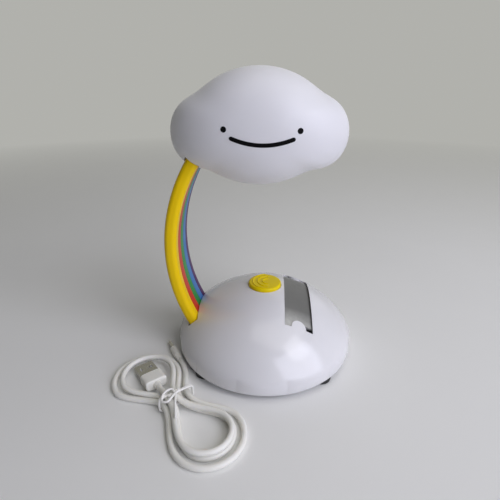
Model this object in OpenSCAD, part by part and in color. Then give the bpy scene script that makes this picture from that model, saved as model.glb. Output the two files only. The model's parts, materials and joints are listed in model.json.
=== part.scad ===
// Cloud lamp with a rainbow arm and a small light projector in its base.
// Millimetres, +Z up. The origin is on the table, under the middle of the base.
// The face looks towards -Y and the arm stands at -X.

/* [Base] */
// Outer radius of the base at the middle of a lobe
base_r = 59.6; // [57:0.1:66]
// Number of lobes round the skirt
lobe_count = 12; // [8:1:16]
// How far the skirt draws in where two lobes meet
cusp_depth = 1.2; // [0.6:0.1:2]
// Height of the widest part of the base
skirt_z = 9.7; // [8.5:0.1:13]
// Height of the top of the dome
dome_top = 46.6; // [44.5:0.1:52]
// Roundness of the dome seen from above, 1 is an ellipse
dome_round = 1.15; // [1:0.01:1.3]
// Roundness of the dome seen from the side, 1 is an ellipse
dome_rise = 1.32; // [1:0.01:1.5]
// How far the rim tucks in under the skirt
rim_tuck = 2.6; // [2:0.1:2.9]
// Wall of the base shell
shell_wall = 2.4; // [2:0.1:3]
// Thickness of the bottom plate
plate_t = 2.4; // [2.2:0.1:4]
// Radius of a rubber foot's pad
foot_pad = 6.8; // [6:0.1:7]
// Radius of the foot's neck in the plate
foot_r = 4.2; // [3.5:0.1:5]
// Height of the rim above the table
foot_h = 3; // [2:0.1:5]

/* [Button] */
// Radius of the push button
button_r = 10.9; // [9:0.1:11]
// How far the button stands above the dome's top
button_proud = 1; // [0.4:0.1:2.5]
// Travel of the button
button_travel = 1.5; // [0.5:0.1:2]
// Gap round the button
button_gap = 0.3; // [0.2:0.05:0.5]

/* [Projector] */
// Distance of the groove's middle from the base's axis
groove_x = 21.6; // [20.8:0.1:22.5]
// Width of the groove
groove_w = 17.3; // [14:0.1:17.5]
// Length of the groove
groove_l = 65.5; // [62:0.5:68]
// Radius of the tongue at each end of the groove
tongue_r = 4.5; // [3:0.1:5]
// Depth of the mirror strip below the dome
strip_depth = 1.5; // [1.2:0.1:3]
// Thickness of the mirror strip
strip_t = 1.2; // [0.8:0.1:1.6]

/* [Arm] */
// Outer radius of the arm's curve
arm_ro = 109.5; // [108:0.1:120]
// Thickness of the arm
arm_t = 7.6; // [7:0.1:9]
// Width of one colour band
band_w = 7; // [5.5:0.1:7.2]
// How far the arm's foot stands in from the skirt
arm_set = 17.8; // [17:0.1:19]
// Height of the arm's foot
arm_foot_z = 15.6; // [15:0.1:17]
// How far the arm's top lies to the left of the head's middle
arm_in_x = 27.6; // [27:0.1:30]
// How far the arm's top lies under the head's middle
arm_in_z = 5.6; // [4:0.1:7]
// Gap round the arm where it enters the base and the head
arm_gap = 0.6; // [0.4:0.1:1]

/* [Head] */
// Place of the head's middle from the base's axis
head_x = -4.9; // [-6:0.1:-3]
// Height of the head's middle
head_z = 146.6; // [145:0.1:148]
// Half width of the outline's middle bulge
head_a = 39.9; // [38:0.1:43]
// Half depth of the head
head_d = 34; // [28:0.1:36]
// How full the head's sides are: 2 gives plain ovals from the face to the outline
head_full = 2.2; // [2:0.05:2.5]
// Half height of the outline's middle bulge
head_b = 31.5; // [29:0.1:36]
// Half width of a side bulge
side_a = 13.4; // [12:0.1:15]
// Half height of a side bulge
side_b = 16.8; // [15:0.1:19]
// Distance of a side bulge from the head's middle
side_x = 36.1; // [34:0.1:38]
// How far the side bulges sit below the head's middle
side_drop = 3.1; // [1:0.1:4]
// Wall of the head shells
head_wall = 2.2; // [1.6:0.1:2.4]

/* [Cable] */
// Diameter of the cable
cord_d = 3.3; // [2.8:0.1:3.5]
// Diameter of the wire tie
tie_d = 1; // [0.8:0.1:1.3]

/* [Hidden] */

// Finish of round faces
$fn = 96;
// Steps along the dome's profile and the rim's tuck
dome_steps = 30;
tuck_steps = 6;

// Base heights and radii that follow from the driving sizes
rim_z = foot_h;
rim_r = base_r - rim_tuck;
cusp_r = base_r - cusp_depth;
cavity = cusp_depth + shell_wall;
plate_gap = 0.2;
plate_r = base_r - cavity - plate_gap;
plate_top = rim_z + plate_t;
lobe_c = (base_r * base_r - cusp_r * cusp_r) / (2 * (base_r - cusp_r * cos(180 / lobe_count)));
lobe_rad = base_r - lobe_c;
// Depth under the dome of the surface that inner walls merge into
merge = 1;

// Feet, set under the lobes beside the front and back ones
foot_angle = 44.4;
foot_edge = 0.6;
foot_inset = 0.3;
foot_sink = 0.8;
foot_reach = plate_r - foot_r - foot_inset;

// Screws: shank, head and the clearance round both
screw_r = 1.25;
screw_head_r = 2.6;
screw_head_h = 1.5;
screw_gap = 0.05;
head_gap = 0.3;
post_r = 3.6;
base_screw_at = [[-36, 27], [-36, -27], [42, 16], [42, -16]];
base_screw_l = 13;

// Circuit board on four posts of the bottom plate, with the switch on it
pcb_lo = [-24, -17];
pcb_hi = [9, 17];
pcb_z = 24;
pcb_t = 1.6;
pcb_inset = 3;
pcb_post_r = 3;
pcb_screw_l = 8;
pcb_screw_at = [for (x = [pcb_lo.x + pcb_inset, pcb_hi.x - pcb_inset])
    for (y = [pcb_lo.y + pcb_inset, pcb_hi.y - pcb_inset]) [x, y]];
switch_w = 12;
switch_h = 7;
switch_z = pcb_z + pcb_t;
plunger_r = 2.1;
plunger_gap = 0.05;
plunger_dip = 4;

// Button heights
button_top = dome_top + button_proud;
button_hole_r = button_r + button_gap;
collar_wall = 1.2;
collar_z = dome_top - 6;
tab_t = 1.4;
tab_w = 6;
tab_gap = 0.2;
cap_z = collar_z - tab_gap - tab_t;
cap_wall = 1.7;
cap_roof = 2;
cap_round = 1.2;
stem_r = 2.6;
stem_z = switch_z + switch_h + button_travel + 1.9;
ridge_d = 1;
ridge_x = 2.1;
ridge_radii = [3.6, 6.9, 10.2];

// Projector groove and what lies in it
groove_wall = 1.6;
channel_depth = 6;
strip_gap = 0.2;
leg_cut = groove_l / 2 - 3.8;
cradle_gap = 0.1;
cradle_top = strip_depth + strip_t + cradle_gap;
cradle_t = 2.5;
cradle_side = 0.6;
cradle_reach = 26;
cradle_foot = [10, 5];
led_r = 1.5;
led_h = 4.8;
led_board_t = 1.2;
pedestal = [14, 7];
pedestal_h = 11.6;
pedestal_y = groove_l / 2 - 2.5;
led_side = 5.4;

// Power socket at the back
socket_w = 10;
socket_h = 9;
socket_l = 11;
socket_nose_r = 3.9;
socket_nose_gap = 0.2;
socket_nose_set = 1.6;
socket_bore_r = 1.45;
socket_bore_l = 9;
socket_pin_r = 0.4;
socket_z = plate_top + 4.6;
socket_y = base_r - cavity - 2.6;

// Arm: five bands side by side, from the head at one end to the base at the other
arm_w = 5 * band_w;
band_round = 0.5;
edge_round = 3;
lead_bore_r = 1.5;
lead_r = 1.1;
clamp_fit = 0.1;
clamp_wall = 1.8;
clamp_out = 5.4;
clamp_in = 4.6;
clamp_top = 15.5;
clamp_screw_l = 5.5;
clamp_screw_y = 10;
arm_mid = arm_ro - arm_t / 2;
// The arm's curve runs through its foot and its top, with its centre to the right of them
arm_foot = [arm_set - base_r, 0, arm_foot_z];
arm_head = [head_x - arm_in_x, 0, head_z - arm_in_z];
arm_chord = arm_head - arm_foot;
arm_rise = sqrt(arm_mid * arm_mid - arm_chord * arm_chord / 4);
arm_c = (arm_foot + arm_head) / 2 + arm_rise * unit([arm_chord.z, 0, -arm_chord.x]);
arm_top_a = atan2(arm_head.z - arm_c.z, arm_head.x - arm_c.x);
arm_foot_a = 360 + atan2(arm_foot.z - arm_c.z, arm_foot.x - arm_c.x);
clamp_screw_at = [[arm_foot.x, -clamp_screw_y], [arm_foot.x, clamp_screw_y]];

// Head: an outline of three blended bulges, rounded front and back, made in two halves
head_segs = 56;
head_rings = 10;
head_blend = 3;
bracket_lo = [arm_head.x - 10.5, arm_head.z - 5];
bracket_half = 12;
bracket_hi = [arm_head.x + 7.7, arm_head.z + 6];
bracket_y = 5;
bracket_t = 2.5;
board_lo = [head_x - 16, head_z - 7.6];
board_hi = [head_x + 22, head_z + 8.4];
bracket_z = [board_lo.y - 1, board_hi.y - 1];
bracket_end = board_hi.x;
board_t = 1.6;
head_led = 3.5;
head_led_t = 1.2;
head_led_cols = 4;
head_led_rows = 2;
head_post_r = 3.2;
head_screw_at = [for (k = [0.25, 0.75])
    [board_lo.x + k * (board_hi.x - board_lo.x), (board_lo.y + board_hi.y) / 2]];
head_screw_l = 12;

// Cable: a hank tied at its waist, with a lead to each plug
cord_r = cord_d / 2;
hank_from = -0.05;
hank_turns = 2.5;
cord_gap = 0.5;
cord_pitch = cord_d + cord_gap;
table_gap = 0.05;
hank_at = [-49.27, -64.44];
hank_dir = [0.6388, -0.7694];
hank_run = 29;
bow_right = 11;
bow_left = 14.5;
bow_step_right = 2.9 * cord_d;
bow_step_left = 2.75 * cord_d;
shift_right = 4;
shift_left = -4;
waist_step = 2.7 * cord_d;
spiral_turns = 1.75;
climb_from = 1.45;
climb_to = 1.85;
upper_rate = 0.52;
waist_lift_run = 14;
rings_per_loop = 24;
cord_sides = 6;
lead_sides = 8;
waist_lift = tie_d + 0.25;
low_z = cord_r + table_gap;
high_z = low_z + cord_pitch;

// Plugs: where each tail lies, which way it points and how much it leans
dc_tail = [-54.42, -28.28, 2.7];
dc_heading = 123.4;
dc_body_r = 2.6;
dc_body_l = 13;
dc_tail_l = 4;
dc_barrel_r = 1.25;
dc_barrel_l = 8;
usb_tail = [-61.03, -55.32, 5.2];
usb_heading = 129.7;
usb_lean = 5.5;
usb_body = [10, 13.2, 6.6];
usb_tail_l = 2.5;
usb_shell = [11.4, 12, 4.5];
usb_shell_t = 0.4;
usb_tongue = [9, 11, 1.9];

// Colours
white = [0.93, 0.93, 0.95];
cream = [0.9, 0.88, 0.82];
black = [0.05, 0.05, 0.06];
silver = [0.7, 0.7, 0.72];
board_green = [0.1, 0.4, 0.2];
yellow = [0.95, 0.78, 0.05];

// Height of the surface that lies a given depth under the dome, at angle a up the profile
function dome_point(a, depth) = [
    (base_r - depth) * pow(cos(a), dome_round),
    skirt_z + (dome_top - skirt_z - depth) * pow(sin(a), dome_rise)
];

function dome_arc(depth) = [for (i = [0 : dome_steps]) dome_point(90 * i / dome_steps, depth)];

// Quarter-ellipse tuck from the rim out to the skirt
function tuck_arc() = [for (i = [0 : tuck_steps - 1]) let (t = i / tuck_steps)
    [rim_r + rim_tuck * sqrt(1 - pow(1 - t, 2)), rim_z + (skirt_z - rim_z) * t]];

function unit(v) = v / norm(v);

// Everything under the dome at a given depth, with straight sides down to the given height
module under_dome(depth, low) {
    rotate_extrude()
        polygon(concat([[0, low], [base_r - depth, low]], dome_arc(depth)));
}

// The dome's full outer form with its tucked rim
module dome_form() {
    rotate_extrude()
        polygon(concat([[0, rim_z]], tuck_arc(), dome_arc(0)));
}

// Plan of the skirt: one circle per lobe
module lobed_plan() {
    for (i = [0 : lobe_count - 1])
        rotate(360 * i / lobe_count - 90)
            translate([lobe_c, 0])
                circle(lobe_rad);
}

// Frame of the groove: its middle at the origin and its length along Y
module groove_frame() {
    translate([groove_x, 0])
        children();
}

// Plan of the groove, grown by e, with a round tongue left standing at each end
module groove_plan(e) {
    groove_frame()
        difference() {
            square([groove_w + 2 * e, groove_l + 2 * e], center = true);
            for (s = [-1, 1])
                translate([0, s * groove_l / 2])
                    circle(tongue_r - e);
        }
}

// The arm's whole section swept between two angles, grown by e
module arm_sweep(e, from, to) {
    translate(arm_c)
        rotate([90, 0, 0])
            rotate([0, 0, from])
                rotate_extrude(angle = to - from)
                    translate([arm_ro - arm_t - e, -arm_w / 2 - e])
                        square([arm_t + 2 * e, arm_w + 2 * e]);
}

// A screw standing on its head, with a slot across it
module screw(length) {
    difference() {
        cylinder(r = screw_head_r, h = screw_head_h);
        translate([-screw_head_r, -0.4, -0.1])
            cube([2 * screw_head_r, 0.8, 0.7]);
    }
    translate([0, 0, screw_head_h])
        cylinder(r = screw_r, h = length);
}

module foot_places() {
    for (a = [foot_angle, -foot_angle, 180 - foot_angle, foot_angle - 180])
        rotate(a)
            translate([0, -foot_reach, 0])
                children();
}

// Sub-parts of the base

module base_shell() {
    color(white)
        difference() {
            union() {
                difference() {
                    intersection() {
                        dome_form();
                        linear_extrude(2 * dome_top)
                            lobed_plan();
                    }
                    under_dome(cavity, rim_z - 1);
                }
                intersection() {
                    difference() {
                        under_dome(merge, plate_top);
                        under_dome(channel_depth, plate_top - 1);
                    }
                    linear_extrude(2 * dome_top)
                        groove_frame()
                            square([groove_w + 2 * groove_wall, groove_l + 2 * groove_wall], center = true);
                }
                intersection() {
                    under_dome(merge, plate_top);
                    translate([0, 0, collar_z])
                        cylinder(r = button_hole_r + collar_wall, h = dome_top);
                }
                for (p = base_screw_at)
                    intersection() {
                        under_dome(merge, plate_top);
                        translate([p.x, p.y, plate_top])
                            cylinder(r = post_r, h = dome_top);
                    }
            }
            linear_extrude(2 * dome_top)
                groove_plan(0);
            translate([0, 0, collar_z - channel_depth])
                cylinder(r = button_hole_r, h = dome_top);
            arm_sweep(arm_gap, arm_foot_a - 18, arm_foot_a + 2);
            translate([0, socket_y - 1, socket_z])
                rotate([-90, 0, 0])
                    cylinder(r = socket_nose_r + socket_nose_gap, h = base_r);
            for (p = base_screw_at)
                translate([p.x, p.y, plate_top - 1])
                    cylinder(r = screw_r + screw_gap, h = base_screw_l + 1);
        }
}

module base_plate() {
    color(white)
        difference() {
            union() {
                translate([0, 0, rim_z])
                    cylinder(r = plate_r, h = plate_t);
                for (p = pcb_screw_at)
                    translate([p.x, p.y, rim_z + plate_t / 2])
                        cylinder(r = pcb_post_r, h = pcb_z - rim_z - plate_t / 2);
                groove_frame()
                    for (s = [-1, 1])
                        translate([-pedestal.x / 2, s * pedestal_y - pedestal.y / 2, rim_z + plate_t / 2])
                            cube([pedestal.x, pedestal.y, pedestal_h + plate_t / 2]);
            }
            foot_places()
                translate([0, 0, rim_z - 1])
                    cylinder(r = foot_r + plate_gap, h = foot_sink + 1);
            for (p = concat(base_screw_at, clamp_screw_at))
                translate([p.x, p.y, rim_z - 1]) {
                    cylinder(r = screw_r + head_gap, h = plate_t + 2);
                    cylinder(r = screw_head_r + head_gap, h = screw_head_h + 1);
                }
            for (p = pcb_screw_at)
                translate([p.x, p.y, pcb_z - pcb_screw_l])
                    cylinder(r = screw_r + screw_gap, h = pcb_screw_l + 1);
        }
}

module rubber_feet() {
    color(black)
        foot_places()
            rotate_extrude()
                polygon([
                    [0, 0],
                    [foot_pad - foot_edge, 0],
                    [foot_pad, foot_edge],
                    [foot_pad, rim_z],
                    [foot_r, rim_z],
                    [foot_r, rim_z + foot_sink],
                    [0, rim_z + foot_sink]
                ]);
}

module base_screws() {
    color(silver)
        for (p = base_screw_at)
            translate([p.x, p.y, rim_z])
                screw(base_screw_l);
}

module power_button() {
    color(yellow) {
        difference() {
            union() {
                rotate_extrude()
                    polygon(concat(
                        [[0, cap_z], [button_r, cap_z]],
                        [for (a = [0 : 15 : 90])
                            [button_r - cap_round * (1 - cos(a)), button_top - cap_round * (1 - sin(a))]],
                        [[0, button_top]]
                    ));
                intersection() {
                    translate([0, 0, cap_z])
                        cylinder(r = button_hole_r + collar_wall, h = tab_t);
                    translate([-tab_w / 2, -base_r, cap_z])
                        cube([tab_w, 2 * base_r, tab_t]);
                }
                intersection() {
                    translate([ridge_x, 0, button_top])
                        for (r = ridge_radii)
                            rotate([0, 0, 90])
                                rotate_extrude(angle = 180)
                                    translate([r, 0])
                                        circle(d = ridge_d, $fn = 24);
                    translate([0, 0, button_top - ridge_d])
                        cylinder(r = button_r - cap_round, h = 2 * ridge_d);
                }
            }
            difference() {
                translate([0, 0, cap_z - 1])
                    cylinder(r = button_r - cap_wall, h = button_top - cap_roof - cap_z + 1);
                cylinder(r = stem_r, h = button_top);
            }
        }
        translate([0, 0, stem_z])
            cylinder(r = stem_r, h = button_top - cap_roof / 2 - stem_z);
    }
}

module switch_plunger() {
    color(black)
        translate([0, 0, switch_z + switch_h - plunger_dip])
            cylinder(r = plunger_r, h = stem_z - switch_z - switch_h + plunger_dip);
}

module switch_body() {
    color(black)
        difference() {
            translate([-switch_w / 2, -switch_w / 2, switch_z])
                cube([switch_w, switch_w, switch_h]);
            translate([0, 0, switch_z + switch_h - plunger_dip - button_travel - plunger_gap])
                cylinder(r = plunger_r + plunger_gap, h = switch_h);
        }
}

module main_pcb() {
    color(board_green)
        difference() {
            translate([pcb_lo.x, pcb_lo.y, pcb_z])
                cube([pcb_hi.x - pcb_lo.x, pcb_hi.y - pcb_lo.y, pcb_t]);
            for (p = pcb_screw_at)
                translate([p.x, p.y, pcb_z - 1])
                    cylinder(r = screw_r + head_gap, h = pcb_t + 2);
        }
}

module pcb_screws() {
    color(silver)
        for (p = pcb_screw_at)
            translate([p.x, p.y, pcb_z + pcb_t + screw_head_h])
                rotate([180, 0, 0])
                    screw(pcb_t + pcb_screw_l - 1);
}

module dc_socket() {
    color(black)
        difference() {
            union() {
                translate([-socket_w / 2, socket_y - socket_l, plate_top])
                    cube([socket_w, socket_l, socket_h]);
                translate([0, socket_y - 1, socket_z])
                    rotate([-90, 0, 0])
                        cylinder(r = socket_nose_r, h = base_r - socket_nose_set - socket_y + 1);
            }
            translate([0, base_r - socket_nose_set - socket_bore_l, socket_z])
                rotate([-90, 0, 0])
                    cylinder(r = socket_bore_r, h = socket_bore_l + 1);
        }
}

module dc_socket_pin() {
    color(silver)
        translate([0, base_r - socket_nose_set - socket_bore_l, socket_z])
            rotate([-90, 0, 0])
                cylinder(r = socket_pin_r, h = socket_bore_l - 1);
}

// Sub-parts of the projector

module reflector_strip() {
    color(silver)
        difference() {
            intersection() {
                difference() {
                    under_dome(strip_depth, plate_top);
                    under_dome(strip_depth + strip_t, plate_top - 1);
                }
                linear_extrude(2 * dome_top)
                    groove_plan(-strip_gap);
            }
            groove_frame()
                for (s = [-1, 1])
                    translate([0, s * (leg_cut + groove_l) - groove_l, 0])
                        cube([groove_w, 2 * groove_l, 2 * dome_top]);
        }
}

module projector_cradle() {
    color(black) {
        intersection() {
            difference() {
                under_dome(cradle_top, plate_top);
                under_dome(cradle_top + cradle_t, plate_top - 1);
            }
            groove_frame()
                translate([cradle_side - groove_w / 2, -cradle_reach, 0])
                    cube([groove_w - 2 * cradle_side, 2 * cradle_reach, 2 * dome_top]);
        }
        intersection() {
            under_dome(cradle_top + cradle_t / 2, plate_top);
            groove_frame()
                for (s = [-1, 1])
                    translate([-cradle_foot.x / 2, s * (cradle_reach - cradle_foot.y) - cradle_foot.y / 2, 0])
                        cube([cradle_foot.x, cradle_foot.y, 2 * dome_top]);
        }
    }
}

module projector_led_boards() {
    color(board_green)
        groove_frame()
            for (s = [-1, 1])
                translate([-pedestal.x / 2, s * pedestal_y - pedestal.y / 2, plate_top + pedestal_h])
                    cube([pedestal.x, pedestal.y, led_board_t]);
}

module projector_leds() {
    color([0.9, 0.9, 0.85])
        groove_frame()
            for (s = [-1, 1])
                for (x = [-led_side, led_side])
                    translate([x, s * pedestal_y, plate_top + pedestal_h + led_board_t]) {
                        cylinder(r = led_r, h = led_h);
                        translate([0, 0, led_h])
                            sphere(led_r, $fn = 48);
                    }
}

// Sub-parts of the arm

// Section of a band with its own corner radius, from inner to outer face of the arm
module band_section(low, high, round) {
    x0 = arm_ro - arm_t;
    translate([x0 + round, low])
        square([arm_t - 2 * round, high - low]);
    translate([x0, low + round])
        square([arm_t, high - low - 2 * round]);
    for (x = [x0 + round, arm_ro - round])
        for (y = [low + round, high - round])
            translate([x, y])
                circle(round, $fn = 48);
}

// One band of the arm, counted from the front. The outermost bands have a well rounded edge.
module arm_band(i) {
    high = arm_w / 2 - i * band_w;
    low = high - band_w;
    middle = (low + high) / 2;
    translate(arm_c)
        rotate([90, 0, 0])
            rotate([0, 0, arm_top_a])
                rotate_extrude(angle = arm_foot_a - arm_top_a, $fn = 180)
                    difference() {
                        if (i == 0) {
                            band_section(low, high, edge_round);
                            band_section(low, middle, band_round);
                        } else if (i == 4) {
                            band_section(low, high, edge_round);
                            band_section(middle, high, band_round);
                        } else {
                            band_section(low, high, band_round);
                        }
                        if (i == 2)
                            translate([arm_mid, middle])
                                circle(lead_bore_r, $fn = 48);
                    }
}

module arm_band_yellow() {
    color(yellow)
        arm_band(0);
}

module arm_band_red() {
    color([0.8, 0.1, 0.05])
        arm_band(1);
}

module arm_band_green() {
    color([0.1, 0.55, 0.2])
        arm_band(2);
}

module arm_band_blue() {
    color([0.2, 0.45, 0.75])
        arm_band(3);
}

module arm_band_purple() {
    color([0.35, 0.12, 0.4])
        arm_band(4);
}

// Point on the middle of the arm at a given angle
function arm_point(a) = arm_c + arm_mid * [cos(a), 0, sin(a)];

module arm_clamp() {
    color(black)
        difference() {
            translate([arm_foot.x - clamp_out, -arm_w / 2 - clamp_wall, plate_top])
                cube([clamp_out + clamp_in, arm_w + 2 * clamp_wall, clamp_top - plate_top]);
            arm_sweep(clamp_fit, arm_foot_a - 20, arm_foot_a);
            translate(arm_foot)
                rotate([0, 360 - arm_foot_a, 0])
                    translate([0, 0, -1])
                        cylinder(r = lead_bore_r, h = 2 * clamp_top);
            for (p = clamp_screw_at)
                translate([p.x, p.y, plate_top - 1])
                    cylinder(r = screw_r + screw_gap, h = clamp_screw_l + 1);
        }
}

module clamp_screws() {
    color(silver)
        for (p = clamp_screw_at)
            translate([p.x, p.y, rim_z])
                screw(clamp_screw_l);
}

// A tube of flat-sided rings along a path, as one closed skin of triangles
module tube(path, r, sides, up = [0, 0, 1]) {
    n = len(path);
    rings = [for (i = [0 : n - 1]) let (
            along = unit(path[min(i + 1, n - 1)] - path[max(i - 1, 0)]),
            across = unit(cross(along, up)),
            over = cross(across, along)
        ) for (k = [0 : sides - 1])
            path[i] + r * (cos(360 * k / sides) * across + sin(360 * k / sides) * over)];
    skin = [for (i = [0 : n - 2]) for (k = [0 : sides - 1]) let (
            a = i * sides + k,
            b = i * sides + (k + 1) % sides
        ) each [[a, b, a + sides], [b, b + sides, a + sides]]];
    ends = [for (k = [1 : sides - 2]) each [
            [0, k + 1, k],
            [(n - 1) * sides, (n - 1) * sides + k, (n - 1) * sides + k + 1]
        ]];
    polyhedron(rings, concat(skin, ends));
}

// Wire from the circuit board, up inside the green band, to the edge of the light board
foot_dir = [-sin(arm_foot_a), 0, cos(arm_foot_a)];
top_dir = [sin(arm_top_a), 0, -cos(arm_top_a)];
lead_low = [[-20.5, 0, switch_z], [-20.5, 0, 28.2], [-22.5, 0, 30], [-25.5, 0, 28.8], [-27.5, 0, 24],
    [-28.5, 0, 17], [-30, 0, 11.5], [-33, 0, 8]];
lead_end = [board_lo.x, bracket_y - 1.2, arm_head.z + 9.8];
lead_high = [arm_head + [7.7, 1.6, 8.4], lead_end - [2.4, 0.5, 0.2], lead_end - [1.4, 0, 0], lead_end];
lead_steps = 18;
light_route = concat(
    lead_low,
    [arm_foot + 8 * foot_dir, arm_foot + 4 * foot_dir],
    [for (i = [0 : lead_steps]) arm_point(arm_foot_a + (arm_top_a - arm_foot_a) * i / lead_steps)],
    [arm_head + 4 * top_dir, arm_head + 8 * top_dir],
    lead_high
);

module light_lead() {
    color(black)
        tube(light_route, lead_r, lead_sides, [0, 1, 0]);
}

// Sub-parts of the head

// Level of one oval of the outline at a point: 1 on the oval and less inside it
function oval_level(p, centre, half) =
    pow((p.x - centre.x) / half.x, 2) + pow((p.y - centre.y) / half.y, 2);

// Blend of the outline's three ovals at a point: 1 on the outline and less inside it
function outline_level(p) = let (
        side = [side_a, side_b],
        middle = oval_level(p, [0, 0], [head_a, head_b]),
        left = oval_level(p, [-side_x, -side_drop], side),
        right = oval_level(p, [side_x, -side_drop], side)
    ) pow(pow(middle, -head_blend) + pow(left, -head_blend) + pow(right, -head_blend), -1 / head_blend);

// Distance along d from the head's middle to its outline, seen from the front, found by halving
function head_outline(d, near = 5, far = 80, steps = 24) = let (
        middle = (near + far) / 2
    ) steps == 0 ? middle
        : outline_level(middle * d) < 1 ? head_outline(d, middle, far, steps - 1)
        : head_outline(d, near, middle, steps - 1);

// Distance along d to the plain oval that the outline waves about
function head_oval(d) = 1 / norm([d.x / (side_x + side_a), d.y / head_b]);

// Distance to the head's skin: an oval body whose outline's waves fade towards the face
function head_reach(d, inset) = let (
        flat = norm([d.x, d.z]),
        way = flat < 0.001 ? [1, 0] : [d.x, d.z] / flat,
        wavy = pow(flat / (head_outline(way) - inset), head_full),
        plain = pow(flat / (head_oval(way) - inset), head_full),
        body = plain + pow(abs(d.y) / (head_d - inset), head_full)
    ) pow(2 / (body + sqrt(body * body + 4 * wavy * (wavy - plain))), 1 / head_full);

// Ring of the front half at angle tilt from the middle of the face
function head_ring(tilt, inset) = [for (i = [0 : head_segs - 1]) let (
        turn = 360 * i / head_segs,
        d = [sin(tilt) * cos(turn), -cos(tilt), sin(tilt) * sin(turn)]
    ) [head_x, 0, head_z] + d * head_reach(d, inset)];

// Front half of the head as a hollow skin, open at the back
module head_half() {
    m = head_segs;
    skin_size = 1 + m * head_rings;
    points = [for (inset = [0, head_wall]) each concat(
        [[head_x, -head_reach([0, -1, 0], inset), head_z]],
        [for (j = [1 : head_rings]) each head_ring(90 * j / head_rings, inset)]
    )];
    caps = [for (i = [0 : m - 1]) let (k = (i + 1) % m) each [
        [0, 1 + k, 1 + i],
        [skin_size, skin_size + 1 + i, skin_size + 1 + k]
    ]];
    bands = [for (j = [0 : head_rings - 2]) for (i = [0 : m - 1]) let (
            k = (i + 1) % m,
            a = 1 + j * m + i,
            b = 1 + j * m + k,
            c = skin_size + a,
            d = skin_size + b
        ) each [[a, b, a + m], [b, b + m, a + m], [c, c + m, d], [d, c + m, d + m]]];
    last = 1 + (head_rings - 1) * m;
    rim = [for (i = [0 : m - 1]) let (
            a = last + i,
            b = last + (i + 1) % m
        ) each [[a, b, skin_size + a], [b, skin_size + b, skin_size + a]]];
    polyhedron(points, concat(caps, bands, rim));
}

module head_front_shell() {
    color(white)
        difference() {
            head_half();
            arm_sweep(arm_gap, arm_top_a + 2, arm_top_a + 30);
        }
}

// Depth of the rear wall's middle behind a point of the head's upright plane
function rear_wall_y(p) = let (
        off = p - [head_x, head_z],
        way = off / norm(off),
        wavy = pow(norm(off) / head_outline(way), head_full),
        plain = pow(norm(off) / head_oval(way), head_full)
    ) head_d * pow(1 - plain - wavy * (wavy - plain), 1 / head_full) - head_wall / 2;

module head_rear_shell() {
    back = bracket_y + bracket_t;
    color(white)
        difference() {
            union() {
                mirror([0, 1, 0])
                    head_half();
                for (p = head_screw_at)
                    translate([p.x, back, p.y])
                        rotate([-90, 0, 0])
                            cylinder(r = head_post_r, h = rear_wall_y(p) - back);
            }
            arm_sweep(arm_gap, arm_top_a + 2, arm_top_a + 30);
            for (p = head_screw_at)
                translate([p.x, back - 1, p.y])
                    rotate([-90, 0, 0])
                        cylinder(r = screw_r + screw_gap, h = head_screw_l);
        }
}

module head_bracket() {
    color(white)
        difference() {
            union() {
                translate([bracket_lo.x, -bracket_half, bracket_lo.y])
                    cube([
                        bracket_hi.x - bracket_lo.x,
                        2 * bracket_half,
                        bracket_hi.y - bracket_lo.y
                    ]);
                translate([bracket_lo.x, bracket_y, bracket_z[0]])
                    cube([bracket_end - bracket_lo.x, bracket_t, bracket_z[1] - bracket_z[0]]);
            }
            arm_sweep(clamp_fit, arm_top_a, arm_top_a + 30);
            translate(arm_head)
                rotate([0, 180 - arm_top_a, 0])
                    translate([0, 0, -1])
                        cylinder(r = lead_bore_r, h = 20);
            for (p = head_screw_at)
                translate([p.x, bracket_y - 1, p.y])
                    rotate([-90, 0, 0])
                        cylinder(r = screw_r + head_gap, h = bracket_t + 2);
        }
}

module head_led_board() {
    color(white)
        difference() {
            translate([board_lo.x, bracket_y - board_t, board_lo.y])
                cube([board_hi.x - board_lo.x, board_t, board_hi.y - board_lo.y]);
            for (p = head_screw_at)
                translate([p.x, bracket_y - board_t - 1, p.y])
                    rotate([-90, 0, 0])
                        cylinder(r = screw_r + head_gap, h = board_t + 2);
        }
}

module head_leds() {
    step_x = (board_hi.x - board_lo.x) / head_led_cols;
    step_z = (board_hi.y - board_lo.y) / head_led_rows;
    color(yellow)
        for (i = [0 : head_led_cols - 1])
            for (j = [0 : head_led_rows - 1])
                translate([
                    board_lo.x + (i + 0.5) * step_x - head_led / 2,
                    bracket_y - board_t - head_led_t,
                    board_lo.y + (j + 0.5) * step_z - head_led / 2
                ])
                    cube([head_led, head_led_t, head_led]);
}

module head_screws() {
    color(silver)
        for (p = head_screw_at)
            translate([p.x, bracket_y - board_t - screw_head_h, p.y])
                rotate([-90, 0, 0])
                    screw(head_screw_l);
}

// Sub-parts of the cable

// Place on the hank's own axes: u along it, v across it towards the lamp
function hank_place(u, v, z) = [
    hank_at.x + u * hank_dir.x - v * hank_dir.y,
    hank_at.y + u * hank_dir.y + v * hank_dir.x,
    z
];

// How far out in the spiral the cable is after t turns: out to in, then out again on top
function hank_share(t) = t < spiral_turns ? 1 - t / spiral_turns : (t - spiral_turns) * upper_rate;

// Height share between the two layers after t turns
function hank_layer(t) = let (
        k = min(1, max(0, (t - climb_from) / (climb_to - climb_from)))
    ) k * k * (3 - 2 * k);

// The runs lift over the tie at the waist
function hank_lift(u) = waist_lift * (1 + cos(180 * min(1, abs(u) / waist_lift_run))) / 2;

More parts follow.
